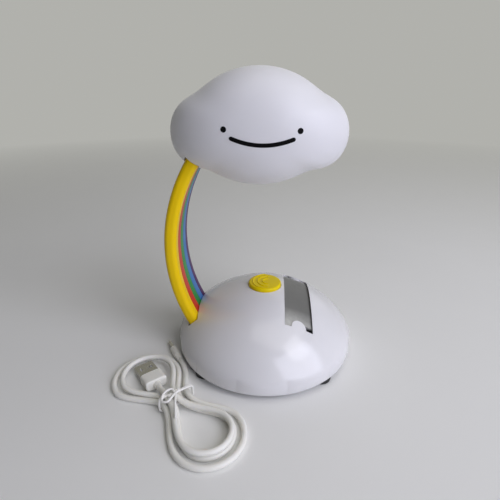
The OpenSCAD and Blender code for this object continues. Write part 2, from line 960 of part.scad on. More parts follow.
// A loop is two runs, drawn in at the waist by half a wave, joined by half circles.
// Quarter q of a turn goes: waist to right bow, round the bow to the waist, and the same at the left.
function hank_uv(t) = let (
        share = hank_share(t),
        turn = t - floor(t),
        right = turn < 0.5,
        f = right ? turn * 2 : (turn - 0.5) * 2,
        bow = right ? bow_right + bow_step_right * share : bow_left + bow_step_left * share,
        shift = right ? shift_right : shift_left,
        waist = waist_step * share,
        run_part = hank_run / (2 * hank_run + PI * bow),
        side = right ? 1 : -1,
        on_run = f < run_part || f > 1 - run_part,
        along = f < run_part ? f / run_part : (1 - f) / run_part,
        swing = (f - run_part) / (1 - 2 * run_part) * 180,
        first = f < 0.5 ? side : -side
    ) on_run
        ? [side * hank_run * along, first * waist + (first * (bow - waist) + shift) * (1 - cos(180 * along)) / 2]
        : [side * (hank_run + bow * sin(swing)), side * bow * cos(swing) + shift];

function hank_point(t) = let (uv = hank_uv(t))
    hank_place(uv.x, uv.y, low_z + (high_z - low_z) * hank_layer(t) + hank_lift(uv.x));

// Both ends of the hank run straight for one diameter, where the leads meet it
hank_first = hank_point(hank_from);
hank_last = hank_point(hank_turns);
hank_step = 0.005;
first_dir = unit(hank_point(hank_from + hank_step) - hank_first);
last_dir = unit([-hank_dir.x, -hank_dir.y, 0]);
hank_path = concat(
    [hank_first, hank_first + cord_d * first_dir],
    [for (i = [0 : rings_per_loop * hank_turns - 1]) hank_point(i / rings_per_loop)],
    [hank_last - cord_d * last_dir, hank_last]
);
hank_rings = len(hank_path) - 1;

// Least gap of the hank to itself, from each ring to the stretches at least a third of a loop away
function to_stretch(p, a, b) = let (
        way = b - a,
        k = min(1, max(0, (p - a) * way / (way * way)))
    ) norm(p - a - k * way);
hank_gap = min([for (i = [0 : hank_rings]) for (j = [0 : hank_rings - 1])
    if (abs(i - j) > rings_per_loop / 3) to_stretch(hank_path[i], hank_path[j], hank_path[j + 1])]) - cord_d;
echo(hank_least_gap = hank_gap);

module cord_hank() {
    color(cream)
        tube(hank_path, cord_r, cord_sides);
}

// Frame of a plug: its tail at the origin, pointing along +X
module plug_frame(tail, heading, lean) {
    translate(tail)
        rotate([0, lean, heading])
            children();
}

// A lead leaves the hank and meets its plug straight for one diameter, with one smooth bend between
function bend(a, b, c, d, t) = let (s = 1 - t)
    s * s * s * a + 3 * t * s * s * b + 3 * t * t * s * c + t * t * t * d;

function lead_route(from, from_dir, to, to_dir, reach) = let (
        a = from + cord_d * from_dir,
        d = to - cord_d * to_dir
    ) concat(
        [from],
        [for (i = [0 : lead_rings]) bend(a, a + reach * from_dir, d - reach * to_dir, d, i / lead_rings)],
        [to]
    );

lead_rings = 12;
dc_lead = lead_route(hank_first, -first_dir, dc_tail, [cos(dc_heading), sin(dc_heading), 0], 4);
usb_lead = lead_route(hank_last, last_dir, usb_tail,
    [cos(usb_heading) * cos(usb_lean), sin(usb_heading) * cos(usb_lean), -sin(usb_lean)], 3);

module cord_lead_dc() {
    color(cream)
        tube(dc_lead, cord_r, lead_sides);
}

module cord_lead_usb() {
    color(cream)
        tube(usb_lead, cord_r, lead_sides);
}

// Wire tie: a rounded box round the waist, twisted on top, with two tails
tie_steps = 48;
tie_mid = [1.2, 5.15];
tie_half = [waist_step + cord_r + tie_d / 2 + 0.5 - tie_mid.x, 4.6];
tie_square = 0.35;
tie_tails = [[[0, 0, 9.7], [3, -1.5, 10.6], [8, -4, 9.8], [13, -6, 8.6]],
    [[0, 0, 9.7], [-1, -4, 10.8], [1, -10, 8.6], [4, -14, 5]]];

function tie_point(a) = hank_place(
    0,
    tie_mid.x + tie_half.x * sign(cos(a)) * pow(abs(cos(a)), tie_square),
    tie_mid.y + tie_half.y * sign(sin(a)) * pow(abs(sin(a)), tie_square)
);

module cord_tie() {
    color(white) {
        tube([for (i = [0 : tie_steps]) tie_point(100 + 358 * i / tie_steps)], tie_d / 2, cord_sides,
            [hank_dir.x, hank_dir.y, 0]);
        for (t = tie_tails)
            tube([for (p = t) hank_place(p.x, p.y + tie_mid.x, p.z)], tie_d / 2, cord_sides);
    }
}

module dc_plug_body() {
    color(cream)
        plug_frame(dc_tail, dc_heading, 0)
            rotate([0, 90, 0]) {
                cylinder(r1 = cord_r + 0.3, r2 = dc_body_r, h = dc_tail_l);
                translate([0, 0, dc_tail_l])
                    cylinder(r = dc_body_r, h = dc_body_l - dc_tail_l);
            }
}

module dc_plug_barrel() {
    color(silver)
        plug_frame(dc_tail, dc_heading, 0)
            translate([dc_body_l, 0, 0])
                rotate([0, 90, 0])
                    difference() {
                        cylinder(r = dc_barrel_r, h = dc_barrel_l);
                        translate([0, 0, 1])
                            cylinder(r = dc_barrel_r / 2, h = dc_barrel_l);
                    }
}

// A bar along +X with rounded long edges
module round_bar(size, round) {
    rotate([90, 0, 90])
        linear_extrude(size.x) {
            square([size.y - 2 * round, size.z], center = true);
            square([size.y, size.z - 2 * round], center = true);
            for (y = [-1, 1])
                for (z = [-1, 1])
                    translate([y * (size.y / 2 - round), z * (size.z / 2 - round)])
                        circle(round, $fn = 32);
        }
}

module usb_plug_body() {
    color(cream)
        plug_frame(usb_tail, usb_heading, usb_lean) {
            rotate([0, 90, 0])
                cylinder(r1 = cord_r + 0.3, r2 = usb_body.z / 2 - 0.3, h = usb_tail_l);
            translate([usb_tail_l, 0, 0])
                round_bar(usb_body, usb_body.z / 4);
        }
}

module usb_plug_shell() {
    color(silver)
        plug_frame(usb_tail, usb_heading, usb_lean)
            translate([usb_tail_l + usb_body.x, 0, 0])
                difference() {
                    translate([0, -usb_shell.y / 2, -usb_shell.z / 2])
                        cube(usb_shell);
                    translate([-1, usb_shell_t - usb_shell.y / 2, usb_shell_t - usb_shell.z / 2])
                        cube([usb_shell.x + 2, usb_shell.y - 2 * usb_shell_t, usb_shell.z - 2 * usb_shell_t]);
                }
}

module usb_plug_tongue() {
    color(white)
        plug_frame(usb_tail, usb_heading, usb_lean)
            translate([usb_tail_l + usb_body.x, -usb_tongue.y / 2, 0.1])
                cube([usb_tongue.x, usb_tongue.y, usb_tongue.z - 0.3]);
}

base_shell();
base_plate();
rubber_feet();
base_screws();
power_button();
switch_plunger();
switch_body();
main_pcb();
pcb_screws();
dc_socket();
dc_socket_pin();
reflector_strip();
projector_cradle();
projector_led_boards();
projector_leds();
arm_band_yellow();
arm_band_red();
arm_band_green();
arm_band_blue();
arm_band_purple();
arm_clamp();
clamp_screws();
light_lead();
head_front_shell();
head_rear_shell();
head_bracket();
head_led_board();
head_leds();
head_screws();
cord_hank();
cord_lead_dc();
cord_lead_usb();
cord_tie();
dc_plug_body();
dc_plug_barrel();
usb_plug_body();
usb_plug_shell();
usb_plug_tongue();
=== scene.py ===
"""Looks of the LED projector lamp: fine skins, the tied cable with its plugs, and every finish."""

import json

import bmesh
import bpy
import numpy as np
from bpy.props import FloatProperty, FloatVectorProperty, PointerProperty
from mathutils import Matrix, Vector


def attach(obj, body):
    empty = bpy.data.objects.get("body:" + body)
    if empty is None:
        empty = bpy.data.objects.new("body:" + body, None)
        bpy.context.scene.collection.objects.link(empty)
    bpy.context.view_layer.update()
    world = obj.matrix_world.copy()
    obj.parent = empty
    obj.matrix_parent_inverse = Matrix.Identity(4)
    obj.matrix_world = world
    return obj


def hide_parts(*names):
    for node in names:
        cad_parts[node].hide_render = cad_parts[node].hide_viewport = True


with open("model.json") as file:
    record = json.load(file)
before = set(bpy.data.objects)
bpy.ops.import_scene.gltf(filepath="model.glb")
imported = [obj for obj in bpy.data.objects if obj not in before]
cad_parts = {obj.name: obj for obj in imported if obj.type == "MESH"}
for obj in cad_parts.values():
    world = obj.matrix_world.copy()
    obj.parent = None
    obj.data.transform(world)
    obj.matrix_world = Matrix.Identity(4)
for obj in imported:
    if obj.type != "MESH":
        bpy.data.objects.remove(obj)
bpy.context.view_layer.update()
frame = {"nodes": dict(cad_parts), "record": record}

bl_info = {
    "name": "LED projector lamp",
    "version": (1, 0, 0),
    "blender": (4, 5, 0),
    "location": "View3D > Sidebar > Lamp",
    "description": "Dresses the solids of a cloud-shaped LED projector lamp",
    "category": "Object",
}

MM = 0.001
UP = np.array([0.0, 0.0, 1.0])

# Every size below is in millimetres and repeats the solids.

# Base: a dome on a lobed skirt, with a tucked rim
BASE_R = 59.6
SKIRT_Z = 9.7
DOME_TOP = 46.6
DOME_ROUND = 1.15
DOME_RISE = 1.32
RIM_TUCK = 2.6
RIM_Z = 3.0
LOBES = 12
CUSP_DEPTH = 1.2
FOLD_SOFT = 0.25
STRIP_DEPTH = 1.5

# Arm: five bands on one curve through the foot and the top
ARM_R = 109.5
ARM_T = 7.6
BAND_W = 7.0
ARM_FOOT = np.array([-41.8, 0.0, 15.6])
ARM_HEAD = np.array([-32.5, 0.0, 141.0])
ARM_GAP = 0.6

# Head: a middle bulge and two side bulges
HEAD_AT = np.array([-4.9, 0.0, 146.6])
HEAD_HALF = np.array([39.9, 31.5])
HEAD_DEPTH = 34.0
HEAD_FULL = 2.2
SIDE_HALF = np.array([13.4, 16.8])
SIDE_AT = np.array([36.1, -3.1])
HEAD_OVAL = np.array([SIDE_AT[0] + SIDE_HALF[0], HEAD_HALF[1]])
HEAD_BLEND = 3
HEAD_WALL = 2.2

# Cable hank: its middle and direction, its runs, its bows and its waist
HANK_AT = np.array([-49.27, -64.44])
HANK_DIR = np.array([0.6388, -0.7694])
HANK_FROM = -0.05
HANK_TURNS = 2.5
HANK_RUN = 29.0
CORD_D = 3.3
BOW_RIGHT = 11.0
BOW_LEFT = 14.5
BOW_STEP_RIGHT = 2.9 * CORD_D
BOW_STEP_LEFT = 2.75 * CORD_D
SHIFT_RIGHT = 4.0
SHIFT_LEFT = -4.0
WAIST_STEP = 2.7 * CORD_D
SPIRAL_TURNS = 1.75
CLIMB = (1.45, 1.85)
UPPER_RATE = 0.52
WAIST_LIFT = 1.25
WAIST_LIFT_RUN = 14.0
LOW_Z = CORD_D / 2 + 0.05
HIGH_Z = LOW_Z + CORD_D + 0.5

# Plugs: where each tail lies, its heading and its lean in degrees
DC_TAIL = np.array([-54.42, -28.28, 2.7])
DC_HEADING = 123.4
DC_BODY_R = 2.6
DC_BODY_L = 13.0
DC_BARREL_R = 1.25
DC_BARREL_L = 8.0
DC_REACH = 4.0
USB_TAIL = np.array([-61.03, -55.32, 5.2])
USB_HEADING = 129.7
USB_LEAN = 5.5
USB_TAIL_L = 2.5
USB_BODY = np.array([10.0, 13.2, 6.6])
USB_SHELL = np.array([11.4, 12.0, 4.5])
USB_REACH = 3.0

# Tie: a rounded box round the waist, then a knot with a loop and a tail, on the hank's own axes
TIE_D = 1.0
TIE_KNOT_D = 1.35
TIE_MID = np.array([1.2, 5.15])
TIE_HALF = np.array([WAIST_STEP + CORD_D / 2 + TIE_D / 2 + 0.5 - TIE_MID[0], 4.6])
TIE_SQUARE = 0.35
TIE_LOOP = ((0.5, 1.0, 10.3), (-2.2, -2.5, 11.2), (-1.6, -6.8, 10.4), (1.4, -9.0, 9.2),
            (4.0, -6.8, 9.8), (2.8, -2.8, 11.0), (0.8, 1.0, 10.5))
TIE_TAIL = ((0, 0, 9.7), (3, -1.5, 10.6), (8, -4.2, 9.8), (15, -7.6, 7.8))


class LampSizes(bpy.types.PropertyGroup):
    """Sizes of the details that the finer skins add."""

    seam: FloatProperty(
        name="Head seam", description="Depth of the fine groove between the head's halves",
        default=0.00025, unit="LENGTH")
    eye: FloatProperty(
        name="Eye", description="Diameter of each printed eye", default=0.0029, unit="LENGTH")
    smile: FloatProperty(
        name="Smile", description="Half the width of the printed smile", default=0.0153, unit="LENGTH")
    stroke: FloatProperty(
        name="Stroke", description="Width of the smile's line", default=0.0021, unit="LENGTH")
    ink: FloatProperty(
        name="Ink", description="How far the print stands off the head", default=0.00012, unit="LENGTH")


def colour_property(name, description, default):
    """A colour a user may change, in linear light."""
    return FloatVectorProperty(
        name=name, description=description, default=default, subtype="COLOR", min=0.0, max=1.0)


class LampColours(bpy.types.PropertyGroup):
    """Colours of the finishes."""

    base: colour_property("Base", "Gloss white of the base", (0.78, 0.775, 0.79))
    head: colour_property("Head", "Satin white of the head", (0.77, 0.765, 0.79))
    yellow: colour_property("Yellow", "Front band of the arm", (0.88, 0.60, 0.0))
    button: colour_property("Button", "Lemon yellow of the button", (0.86, 0.66, 0.0))
    red: colour_property("Red", "Second band of the arm", (0.60, 0.030, 0.010))
    green: colour_property("Green", "Third band of the arm", (0.018, 0.27, 0.045))
    blue: colour_property("Blue", "Fourth band of the arm", (0.045, 0.20, 0.52))
    purple: colour_property("Purple", "Back band of the arm", (0.075, 0.012, 0.11))
    # The mirror strip's grey is partly a painted reflection: a mostly matte tone that stands in for the dim
    # surround the mirror reflects
    mirror: colour_property("Mirror strip", "Grey film of the projector strip", (0.172, 0.172, 0.168))
    cable: colour_property("Cable", "Cream white of the cable and its plugs", (0.92, 0.91, 0.85))
    tie: colour_property("Tie", "White of the wire tie", (0.92, 0.91, 0.87))
    # The nickel is darkened towards olive as painted shade, for the plugs' metal lying in shadow
    nickel: colour_property("Nickel", "Plating of the plugs", (0.42, 0.405, 0.35))
    steel: colour_property("Steel", "Screws", (0.46, 0.46, 0.47))
    black: colour_property("Black", "Feet, socket and inner mouldings", (0.012, 0.012, 0.013))
    ink: colour_property("Ink", "Print of the face", (0.002, 0.002, 0.0025))
    board: colour_property("Board", "Circuit boards", (0.012, 0.13, 0.045))
    lens: colour_property("Lens", "Clear lenses of the lights", (0.80, 0.79, 0.70))
    floor: colour_property("Floor", "Pale floor", (0.87, 0.87, 0.845))
    far: colour_property("Distance", "Even tone that the floor fades into", (0.44, 0.44, 0.415))


class LampStage(bpy.types.PropertyGroup):
    """Strength of each light."""

    window: FloatProperty(
        name="Window", description="Broad cool light from the right", default=8.8, unit="POWER")
    pane: FloatProperty(
        name="Pane", description="Smaller light that the gloss mirrors", default=1.28, unit="POWER")
    back: FloatProperty(
        name="Back", description="Broad light from behind", default=0.8, unit="POWER")
    top: FloatProperty(
        name="Top", description="Soft light from above", default=2.7, unit="POWER")
    sky: FloatProperty(
        name="Surround", description="Even light from all sides", default=0.03)


# Meshes


def grid_faces(rows, cols, round_cols=True):
    """Quads of a grid of points: (i, j), (i, j + 1), (i + 1, j + 1), (i + 1, j), closed round or open."""
    i = np.arange(rows - 1)[:, None] * cols
    j = np.arange(cols if round_cols else cols - 1)[None, :]
    k = (j + 1) % cols
    return np.stack([(i + j), (i + k), (i + cols + k), (i + cols + j)], -1).reshape(-1, 4).tolist()


def capped_faces(rows, cols):
    """Quads of a tube of rings, with one flat face closing each end."""
    first = list(range(cols))[::-1]
    last = list(range((rows - 1) * cols, rows * cols))
    return grid_faces(rows, cols) + [first, last]


def join_parts(parts):
    """One list of points and one of faces from several (points, faces) pairs."""
    counts = np.cumsum([0] + [p.reshape(-1, 3).shape[0] for p, _ in parts])
    points = np.concatenate([p.reshape(-1, 3) for p, _ in parts])
    faces = [[v + int(n) for v in f] for (_, fs), n in zip(parts, counts) for f in fs]
    return points, faces


def dress(mesh, finish):
    """Smooths a mesh all over and gives it one finish."""
    mesh.polygons.foreach_set("use_smooth", np.ones(len(mesh.polygons), bool))
    mesh.materials.clear()
    mesh.materials.append(finish)
    return mesh


def put(name, data):
    """A new object in the scene."""
    thing = bpy.data.objects.new(name, data)
    bpy.context.scene.collection.objects.link(thing)
    return thing


def mesh_of(name, points, faces, finish):
    """A smooth closed mesh from points in millimetres, with its faces turned outwards."""
    mesh = bpy.data.meshes.new(name)
    mesh.from_pydata((points.reshape(-1, 3) * MM).tolist(), [], faces)
    bm = bmesh.new()
    bm.from_mesh(mesh)
    bmesh.ops.recalc_face_normals(bm, faces=bm.faces)
    bm.to_mesh(mesh)
    bm.free()
    return dress(mesh, finish)


def add_piece(name, mesh, body, stands_for=()):
    """Links a mesh as a piece that rides on a body and stands for the named solids."""
    piece = put(name, mesh)
    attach(piece, body)
    if stands_for:
        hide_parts(*stands_for)
    return piece


def new_piece(name, points, faces, finish, slot, stands_for=(), degrees=None):
    """Makes a piece on the base from points and faces, smoothed all over or where flatter than an angle."""
    mesh = mesh_of(name, points, faces, FINISHES[finish])
    if degrees:
        shade_by_angle(mesh, degrees)
    return add_piece(name, mesh, "base", stands_for)


def smooth_solid(node, name, finish, degrees, body="base"):
    """Makes a piece from a solid, smoothed over every edge flatter than an angle."""
    mesh = merged_mesh(node, name, FINISHES[finish])
    add_piece(name, shade_by_angle(mesh, degrees), body, [node])


def unit(v):
    """Each vector at length one."""
    return v / np.maximum(np.linalg.norm(v, axis=-1, keepdims=True), 1e-12)


def even_path(path, step):
    """The same path with points at even distances."""
    reach = np.concatenate([[0], np.cumsum(np.linalg.norm(np.diff(path, axis=0), axis=1))])
    marks = np.linspace(0, reach[-1], int(reach[-1] / step) + 2)
    return np.stack([np.interp(marks, reach, path[:, k]) for k in range(3)], 1)


def path_length(path):
    """Sum of a path's steps."""
    return float(np.linalg.norm(np.diff(path, axis=0), axis=1).sum())


def curve_through(points, steps):
    """Smooth path through points: on each stretch the cubic whose end slopes are half the chord of the
    two neighbours."""
    p = np.asarray(points, float)
    p = np.concatenate([[2 * p[0] - p[1]], p, [2 * p[-1] - p[-2]]])
    t = np.linspace(0, 1, steps, endpoint=False)[None, :, None]
    a, b, c, d = (p[k:len(p) - 3 + k][:, None] for k in range(4))
    path = 0.5 * (2 * b + (c - a) * t + (2 * a - 5 * b + 4 * c - d) * t**2 + (3 * b - a - 3 * c + d) * t**3)
    return np.concatenate([path.reshape(-1, 3), p[-2:-1]])


def sweep(path, across, over, up=UP):
    """Profile carried along a path: each point is path + across * side + over * rise, where side is square
    to the path and to up, and rise is square to both."""
    along = unit(np.gradient(path, axis=0))
    side = unit(np.cross(along, up))
    rise = np.cross(side, along)
    return path[:, None] + across[..., None] * side[:, None] + over[..., None] * rise[:, None]


def round_tube(path, radius, sides, up=UP):
    """Points and faces of a round tube with flat ends along a path."""
    turn = np.linspace(0, 2 * np.pi, sides, endpoint=False)
    points = sweep(path, radius * np.cos(turn)[None], radius * np.sin(turn)[None], up)
    return points, capped_faces(len(path), sides)


def turned(along, radius, sides):
    """Profile turned about the X axis: (along, radius cos t, radius sin t), closed at both ends."""
    turn = np.linspace(0, 2 * np.pi, sides, endpoint=False)
    along, radius = np.asarray(along, float), np.asarray(radius, float)
    points = np.stack([
        np.broadcast_to(along[:, None], (len(along), sides)),
        radius[:, None] * np.cos(turn),
        radius[:, None] * np.sin(turn)], -1)
    return points, capped_faces(len(along), sides)


def lofted(along, half_y, half_z, square, sides):
    """Rounded boxes along the X axis: y = half_y * sgn(cos t) |cos t|^square, and z the same with sin t."""
    turn = np.linspace(0, 2 * np.pi, sides, endpoint=False) + np.pi / sides
    along, half_y, half_z, square = (np.asarray(v, float)[:, None] for v in (along, half_y, half_z, square))
    c, s = np.cos(turn)[None], np.sin(turn)[None]
    points = np.stack([
        np.broadcast_to(along, (len(along), sides)),
        half_y * np.sign(c) * np.abs(c) ** square,
        half_z * np.sign(s) * np.abs(s) ** square], -1)
    return points, capped_faces(len(along), sides)


# Shading from exact surfaces


def merged_mesh(node, name, finish):
    """Copy of a solid's mesh with its doubled points merged."""
    mesh = frame["nodes"][node].data.copy()
    mesh.name = name
    bm = bmesh.new()
    bm.from_mesh(mesh)
    bmesh.ops.remove_doubles(bm, verts=bm.verts, dist=1e-6)
    bm.to_mesh(mesh)
    bm.free()
    if "custom_normal" in mesh.attributes:
        mesh.attributes.remove(mesh.attributes["custom_normal"])
    return dress(mesh, finish)


def shade_by_angle(mesh, degrees):
    """Rounds the shading over every edge flatter than an angle."""
    mesh.set_sharp_from_angle(angle=np.radians(degrees))
    return mesh


def shade_by_surface(mesh, normals, limit):
    """Gives each face corner the normal of the exact surface where its face lies on it, with a cosine above
    the limit, and the face's own elsewhere."""
    corners = np.empty(len(mesh.loops), np.int32)
    mesh.loops.foreach_get("vertex_index", corners)
    points = np.empty(len(mesh.vertices) * 3)
    mesh.vertices.foreach_get("co", points)
    at = points.reshape(-1, 3)[corners] / MM
    faces = np.empty(len(mesh.polygons) * 3)
    mesh.polygons.foreach_get("normal", faces)
    sizes = np.empty(len(mesh.polygons), np.int32)
    mesh.polygons.foreach_get("loop_total", sizes)
    flat = np.repeat(faces.reshape(-1, 3), sizes, axis=0)
    exact = unit(normals(at))
    lies = (exact * flat).sum(1) > limit
    mesh.normals_split_custom_set(np.where(lies[:, None], exact, flat).tolist())


def dome_normals(depth):
    """Normals of the dome lowered by a depth. Its profile is r = R cos^p a, z = s + H sin^q a, so the
    normal is (H q sin^(q-1) a cos a, R p cos^(p-1) a sin a) in the plane through the upright axis."""
    reach, rise = BASE_R - depth, DOME_TOP - SKIRT_Z - depth

    def normals(at):
        r = np.hypot(at[:, 0], at[:, 1])
        c = np.clip(r / reach, 1e-5, 1) ** (1 / DOME_ROUND)
        s = np.sqrt(np.clip(1 - c * c, 1e-8, 1))
        out = rise * DOME_RISE * s ** (DOME_RISE - 1) * c
        up = reach * DOME_ROUND * c ** (DOME_ROUND - 1) * s
        share = out / np.maximum(r, 1e-6)
        return np.stack([at[:, 0] * share, at[:, 1] * share, up], 1)

    return normals


def lobe_middles(at):
    """Middle of the nearest lobe's circle in plan, and that circle's radius."""
    cusp = BASE_R - CUSP_DEPTH
    out = (BASE_R**2 - cusp**2) / (2 * (BASE_R - cusp * np.cos(np.pi / LOBES)))
    step = 2 * np.pi / LOBES
    turn = np.round((np.arctan2(at[:, 1], at[:, 0]) + np.pi / 2) / step) * step - np.pi / 2
    return out * np.stack([np.cos(turn), np.sin(turn)], 1), BASE_R - out


def tuck_normals(at):
    """Normals of the tucked rim: ((r - rim) / tuck)^2 + ((skirt - z) / height)^2 = 1 turned about Z."""
    r = np.hypot(at[:, 0], at[:, 1])
    out = (r - BASE_R + RIM_TUCK) / RIM_TUCK**2 / np.maximum(r, 1e-6)
    down = (at[:, 2] - SKIRT_Z) / (SKIRT_Z - RIM_Z) ** 2
    return np.stack([at[:, 0] * out, at[:, 1] * out, down], 1)


def base_normals(at):
    """Normals of the base's skin. Where a lobe's wall meets the dome or the rim, the two normals mix by how
    far the point lies inside each, so that the fold looks rounded."""
    r = np.hypot(at[:, 0], at[:, 1])
    rise = np.clip((at[:, 2] - SKIRT_Z) / (DOME_TOP - SKIRT_Z), 0, 1) ** (1 / DOME_RISE)
    fall = np.clip((SKIRT_Z - at[:, 2]) / (SKIRT_Z - RIM_Z), 0, 1)
    above = at[:, 2] > SKIRT_Z
    edge = np.where(above, BASE_R * np.sqrt(1 - np.minimum(rise, 1) ** 2) ** DOME_ROUND,
                    BASE_R - RIM_TUCK + RIM_TUCK * np.sqrt(1 - fall**2))
    turned_normal = unit(np.where(above[:, None], dome_normals(0.0)(at), tuck_normals(at)))
    middle, radius = lobe_middles(at)
    off = at[:, :2] - middle
    lobe_normal = unit(np.concatenate([off, np.zeros((len(at), 1))], 1))
    inside = (radius - np.linalg.norm(off, axis=1)) - (edge - r)
    share = 1 / (1 + np.exp(np.clip(-inside / FOLD_SOFT, -50, 50)))
    return turned_normal * share[:, None] + lobe_normal * (1 - share[:, None])


def outline_level(at):
    """Blend of the outline's three ovals at a point seen from the front, 1 on the outline and less inside:
    (middle^-n + left^-n + right^-n)^(-1/n), where each oval gives ((x - x0) / a)^2 + ((z - z0) / b)^2."""
    ovals = ((np.zeros(2), HEAD_HALF), (SIDE_AT * (-1, 1), SIDE_HALF), (SIDE_AT, SIDE_HALF))
    total = sum((((at - middle) / half) ** 2).sum(-1) ** -HEAD_BLEND for middle, half in ovals)
    return total ** (-1 / HEAD_BLEND)


def halved(holds, near, far, times):
    """Where a test that holds at near and fails at far turns over: halves the stretch between them."""
    for _ in range(times):
        middle = (near + far) / 2
        on = holds(middle)
        near, far = np.where(on, middle, near), np.where(on, far, middle)
    return (near + far) / 2


def head_outline(way):
    """Distance from the head's middle to the outline, where the level passes 1."""
    near, far = np.full(way.shape[:-1], 5.0), np.full(way.shape[:-1], 80.0)
    return halved(lambda t: outline_level(t[..., None] * way) < 1, near, far, 30)


def head_reach(way, inset=0.0):
    """Distance t to the head's skin, where t^n plain + t^2n wavy (wavy - plain) + (t y / depth)^n = 1. Wavy
    and plain are (flat / reach)^n to the outline and to the oval round it, flat is the direction's share
    along the face, and n says how full the sides are. The waves fade out towards the face's middle."""
    flat = way[..., [0, 2]] + 1e-9
    share = np.linalg.norm(flat, axis=-1)
    to = flat / share[..., None]
    wavy = (share / (head_outline(to) - inset)) ** HEAD_FULL
    plain = (share / (1 / np.linalg.norm(to / HEAD_OVAL, axis=-1) - inset)) ** HEAD_FULL
    body = plain + (np.abs(way[..., 1]) / (HEAD_DEPTH - inset)) ** HEAD_FULL
    return (2 / (body + np.sqrt(body**2 + 4 * wavy * (wavy - plain)))) ** (1 / HEAD_FULL)


def head_excess(at):
    """How far a point lies outside the head's skin, along the line from the head's middle."""
    off = at - HEAD_AT
    far = np.linalg.norm(off, axis=-1)
    return far - head_reach(off / np.maximum(far, 1e-9)[..., None])


def head_normals(at):
    """Slope of head_excess, by central differences of a twentieth of a millimetre."""
    steps = 0.05 * np.eye(3)
    return np.stack([head_excess(at + s) - head_excess(at - s) for s in steps], -1)


def face_depth(x, z):
    """Y of the head's front skin at (x, z), where a point from in front of the head comes inside."""
    front = np.full(x.shape, -1.2 * HEAD_DEPTH)
    return halved(lambda y: head_excess(np.stack([x, y, z], -1)) > 0, front, np.zeros(x.shape), 40)


# Finishes


class Nodes:
    """Short words for building one material's nodes."""

    def __init__(self, name):
        self.material = bpy.data.materials.new(name)
        self.material.use_nodes = True
        self.tree = self.material.node_tree
        self.shader = self.tree.nodes["Principled BSDF"]
        self.place = self.add("ShaderNodeTexCoord").outputs["Object"]

    def feed(self, node, sockets):
        """Puts a link or a value on each named socket."""
        for key, value in sockets.items():
            if isinstance(value, bpy.types.NodeSocket):
                self.tree.links.new(value, node.inputs[key])
            else:
                node.inputs[key].default_value = value

    def add(self, kind, sockets=None, **settings):
        """Makes a node with its settings and sockets."""
        node = self.tree.nodes.new(kind)
        for key, value in settings.items():
            setattr(node, key, value)
        self.feed(node, sockets or {})
        return node

    def noise(self, scale, detail=3.0, rough=0.55, place=None):
        return self.add("ShaderNodeTexNoise", {
            "Vector": self.place if place is None else place,
            "Scale": scale, "Detail": detail, "Roughness": rough}).outputs["Fac"]

    def spread(self, value, low, high, start=0.3, end=0.7):
        return self.add("ShaderNodeMapRange", {
            "Value": value, "From Min": start, "From Max": end,
            "To Min": low, "To Max": high}).outputs["Result"]

    def shade(self, value, dark, light):
        """Mixes two colours, each a link or a value."""
        a, b = (c if isinstance(c, bpy.types.NodeSocket) else (*c, 1) for c in (dark, light))
        mix = self.add("ShaderNodeMix", {"Factor": value, "A": a, "B": b}, data_type="RGBA")
        return mix.outputs["Result"]

    def bump(self, height, strength, distance, below=None):
        sockets = {"Strength": strength, "Distance": distance, "Height": height}
        if below is not None:
            sockets["Normal"] = below
        return self.add("ShaderNodeBump", sockets).outputs["Normal"]

    def paint(self, colour, rough, normal, **sockets):
        """Links the shader's colour, roughness and normal, and sets its other sockets."""
        self.feed(self.shader, {"Base Color": colour, "Roughness": rough, "Normal": normal})
        self.feed(self.shader, {key.replace("_", " "): value for key, value in sockets.items()})
        return self.material


def moulded(name, colour, rough, spread, grain, coat=0.0, soft=0.0, shine=0.5):
    """Moulded plastic: a faint drift of tone, patches of handling in its gloss, and a fine skin texture."""
    n = Nodes(name)
    drift = n.spread(n.noise(26.0, 2.0), 0.0, 1.0)
    wave = n.bump(n.noise(90.0, 1.0), 0.03, 0.0008)
    return n.paint(
        n.shade(drift, colour * 0.965, np.minimum(colour * 1.02, 1)),
        n.spread(n.noise(70.0, 5.0, 0.62), rough - spread, rough + spread),
        n.bump(n.noise(grain, 2.0), 0.05, 0.00008, wave),
        IOR=1.49, Specular_IOR_Level=shine, Coat_Weight=coat, Coat_Roughness=0.12,
        Subsurface_Weight=soft, Subsurface_Radius=(1.0, 0.9, 0.85), Subsurface_Scale=0.002)


def plated(name, colour, rough, scratch):
    """Plated metal: fine scratches along one way, and patches in its polish."""
    n = Nodes(name)
    stretch = n.add("ShaderNodeMapping", {"Vector": n.place, "Scale": (1.0, 14.0, 3.0)})
    lines = n.noise(scratch, 4.0, 0.6, stretch.outputs["Vector"])
    return n.paint(
        n.shade(lines, colour * 0.86, colour),
        n.spread(n.noise(240.0, 4.0), rough * 0.7, rough * 1.4),
        n.bump(lines, 0.06, 0.00005), Metallic=1.0)


def rubber(name, colour):
    """Rubber: dull, with a pebbled skin and a little dust."""
    n = Nodes(name)
    dust = n.spread(n.noise(320.0, 4.0, 0.7), 0.0, 1.0, 0.45, 0.8)
    return n.paint(
        n.shade(dust, colour, colour + 0.02),
        n.spread(n.noise(500.0), 0.62, 0.82),
        n.bump(n.noise(2200.0, 2.0), 0.25, 0.0001))


def circuit_board(name, colour):
    """Circuit board: a solder mask over a weave of tracks."""
    n = Nodes(name)
    tracks = n.add("ShaderNodeTexBrick", {
        "Vector": n.place, "Scale": 260.0, "Color1": (*colour, 1), "Color2": (*(colour * 0.8), 1),
        "Mortar": (*(colour * 1.7), 1)})
    return n.paint(
        tracks.outputs["Color"],
        n.spread(n.noise(400.0), 0.3, 0.45),
        n.bump(tracks.outputs["Fac"], 0.2, 0.00006))


def clear_lens(name, colour):
    """Epoxy lens: cloudy, with a fine flow texture."""
    n = Nodes(name)
    return n.paint(
        n.shade(n.noise(600.0), colour * 0.9, colour),
        n.spread(n.noise(300.0), 0.08, 0.2),
        n.bump(n.noise(900.0), 0.04, 0.0001), Transmission_Weight=0.5, IOR=1.5)


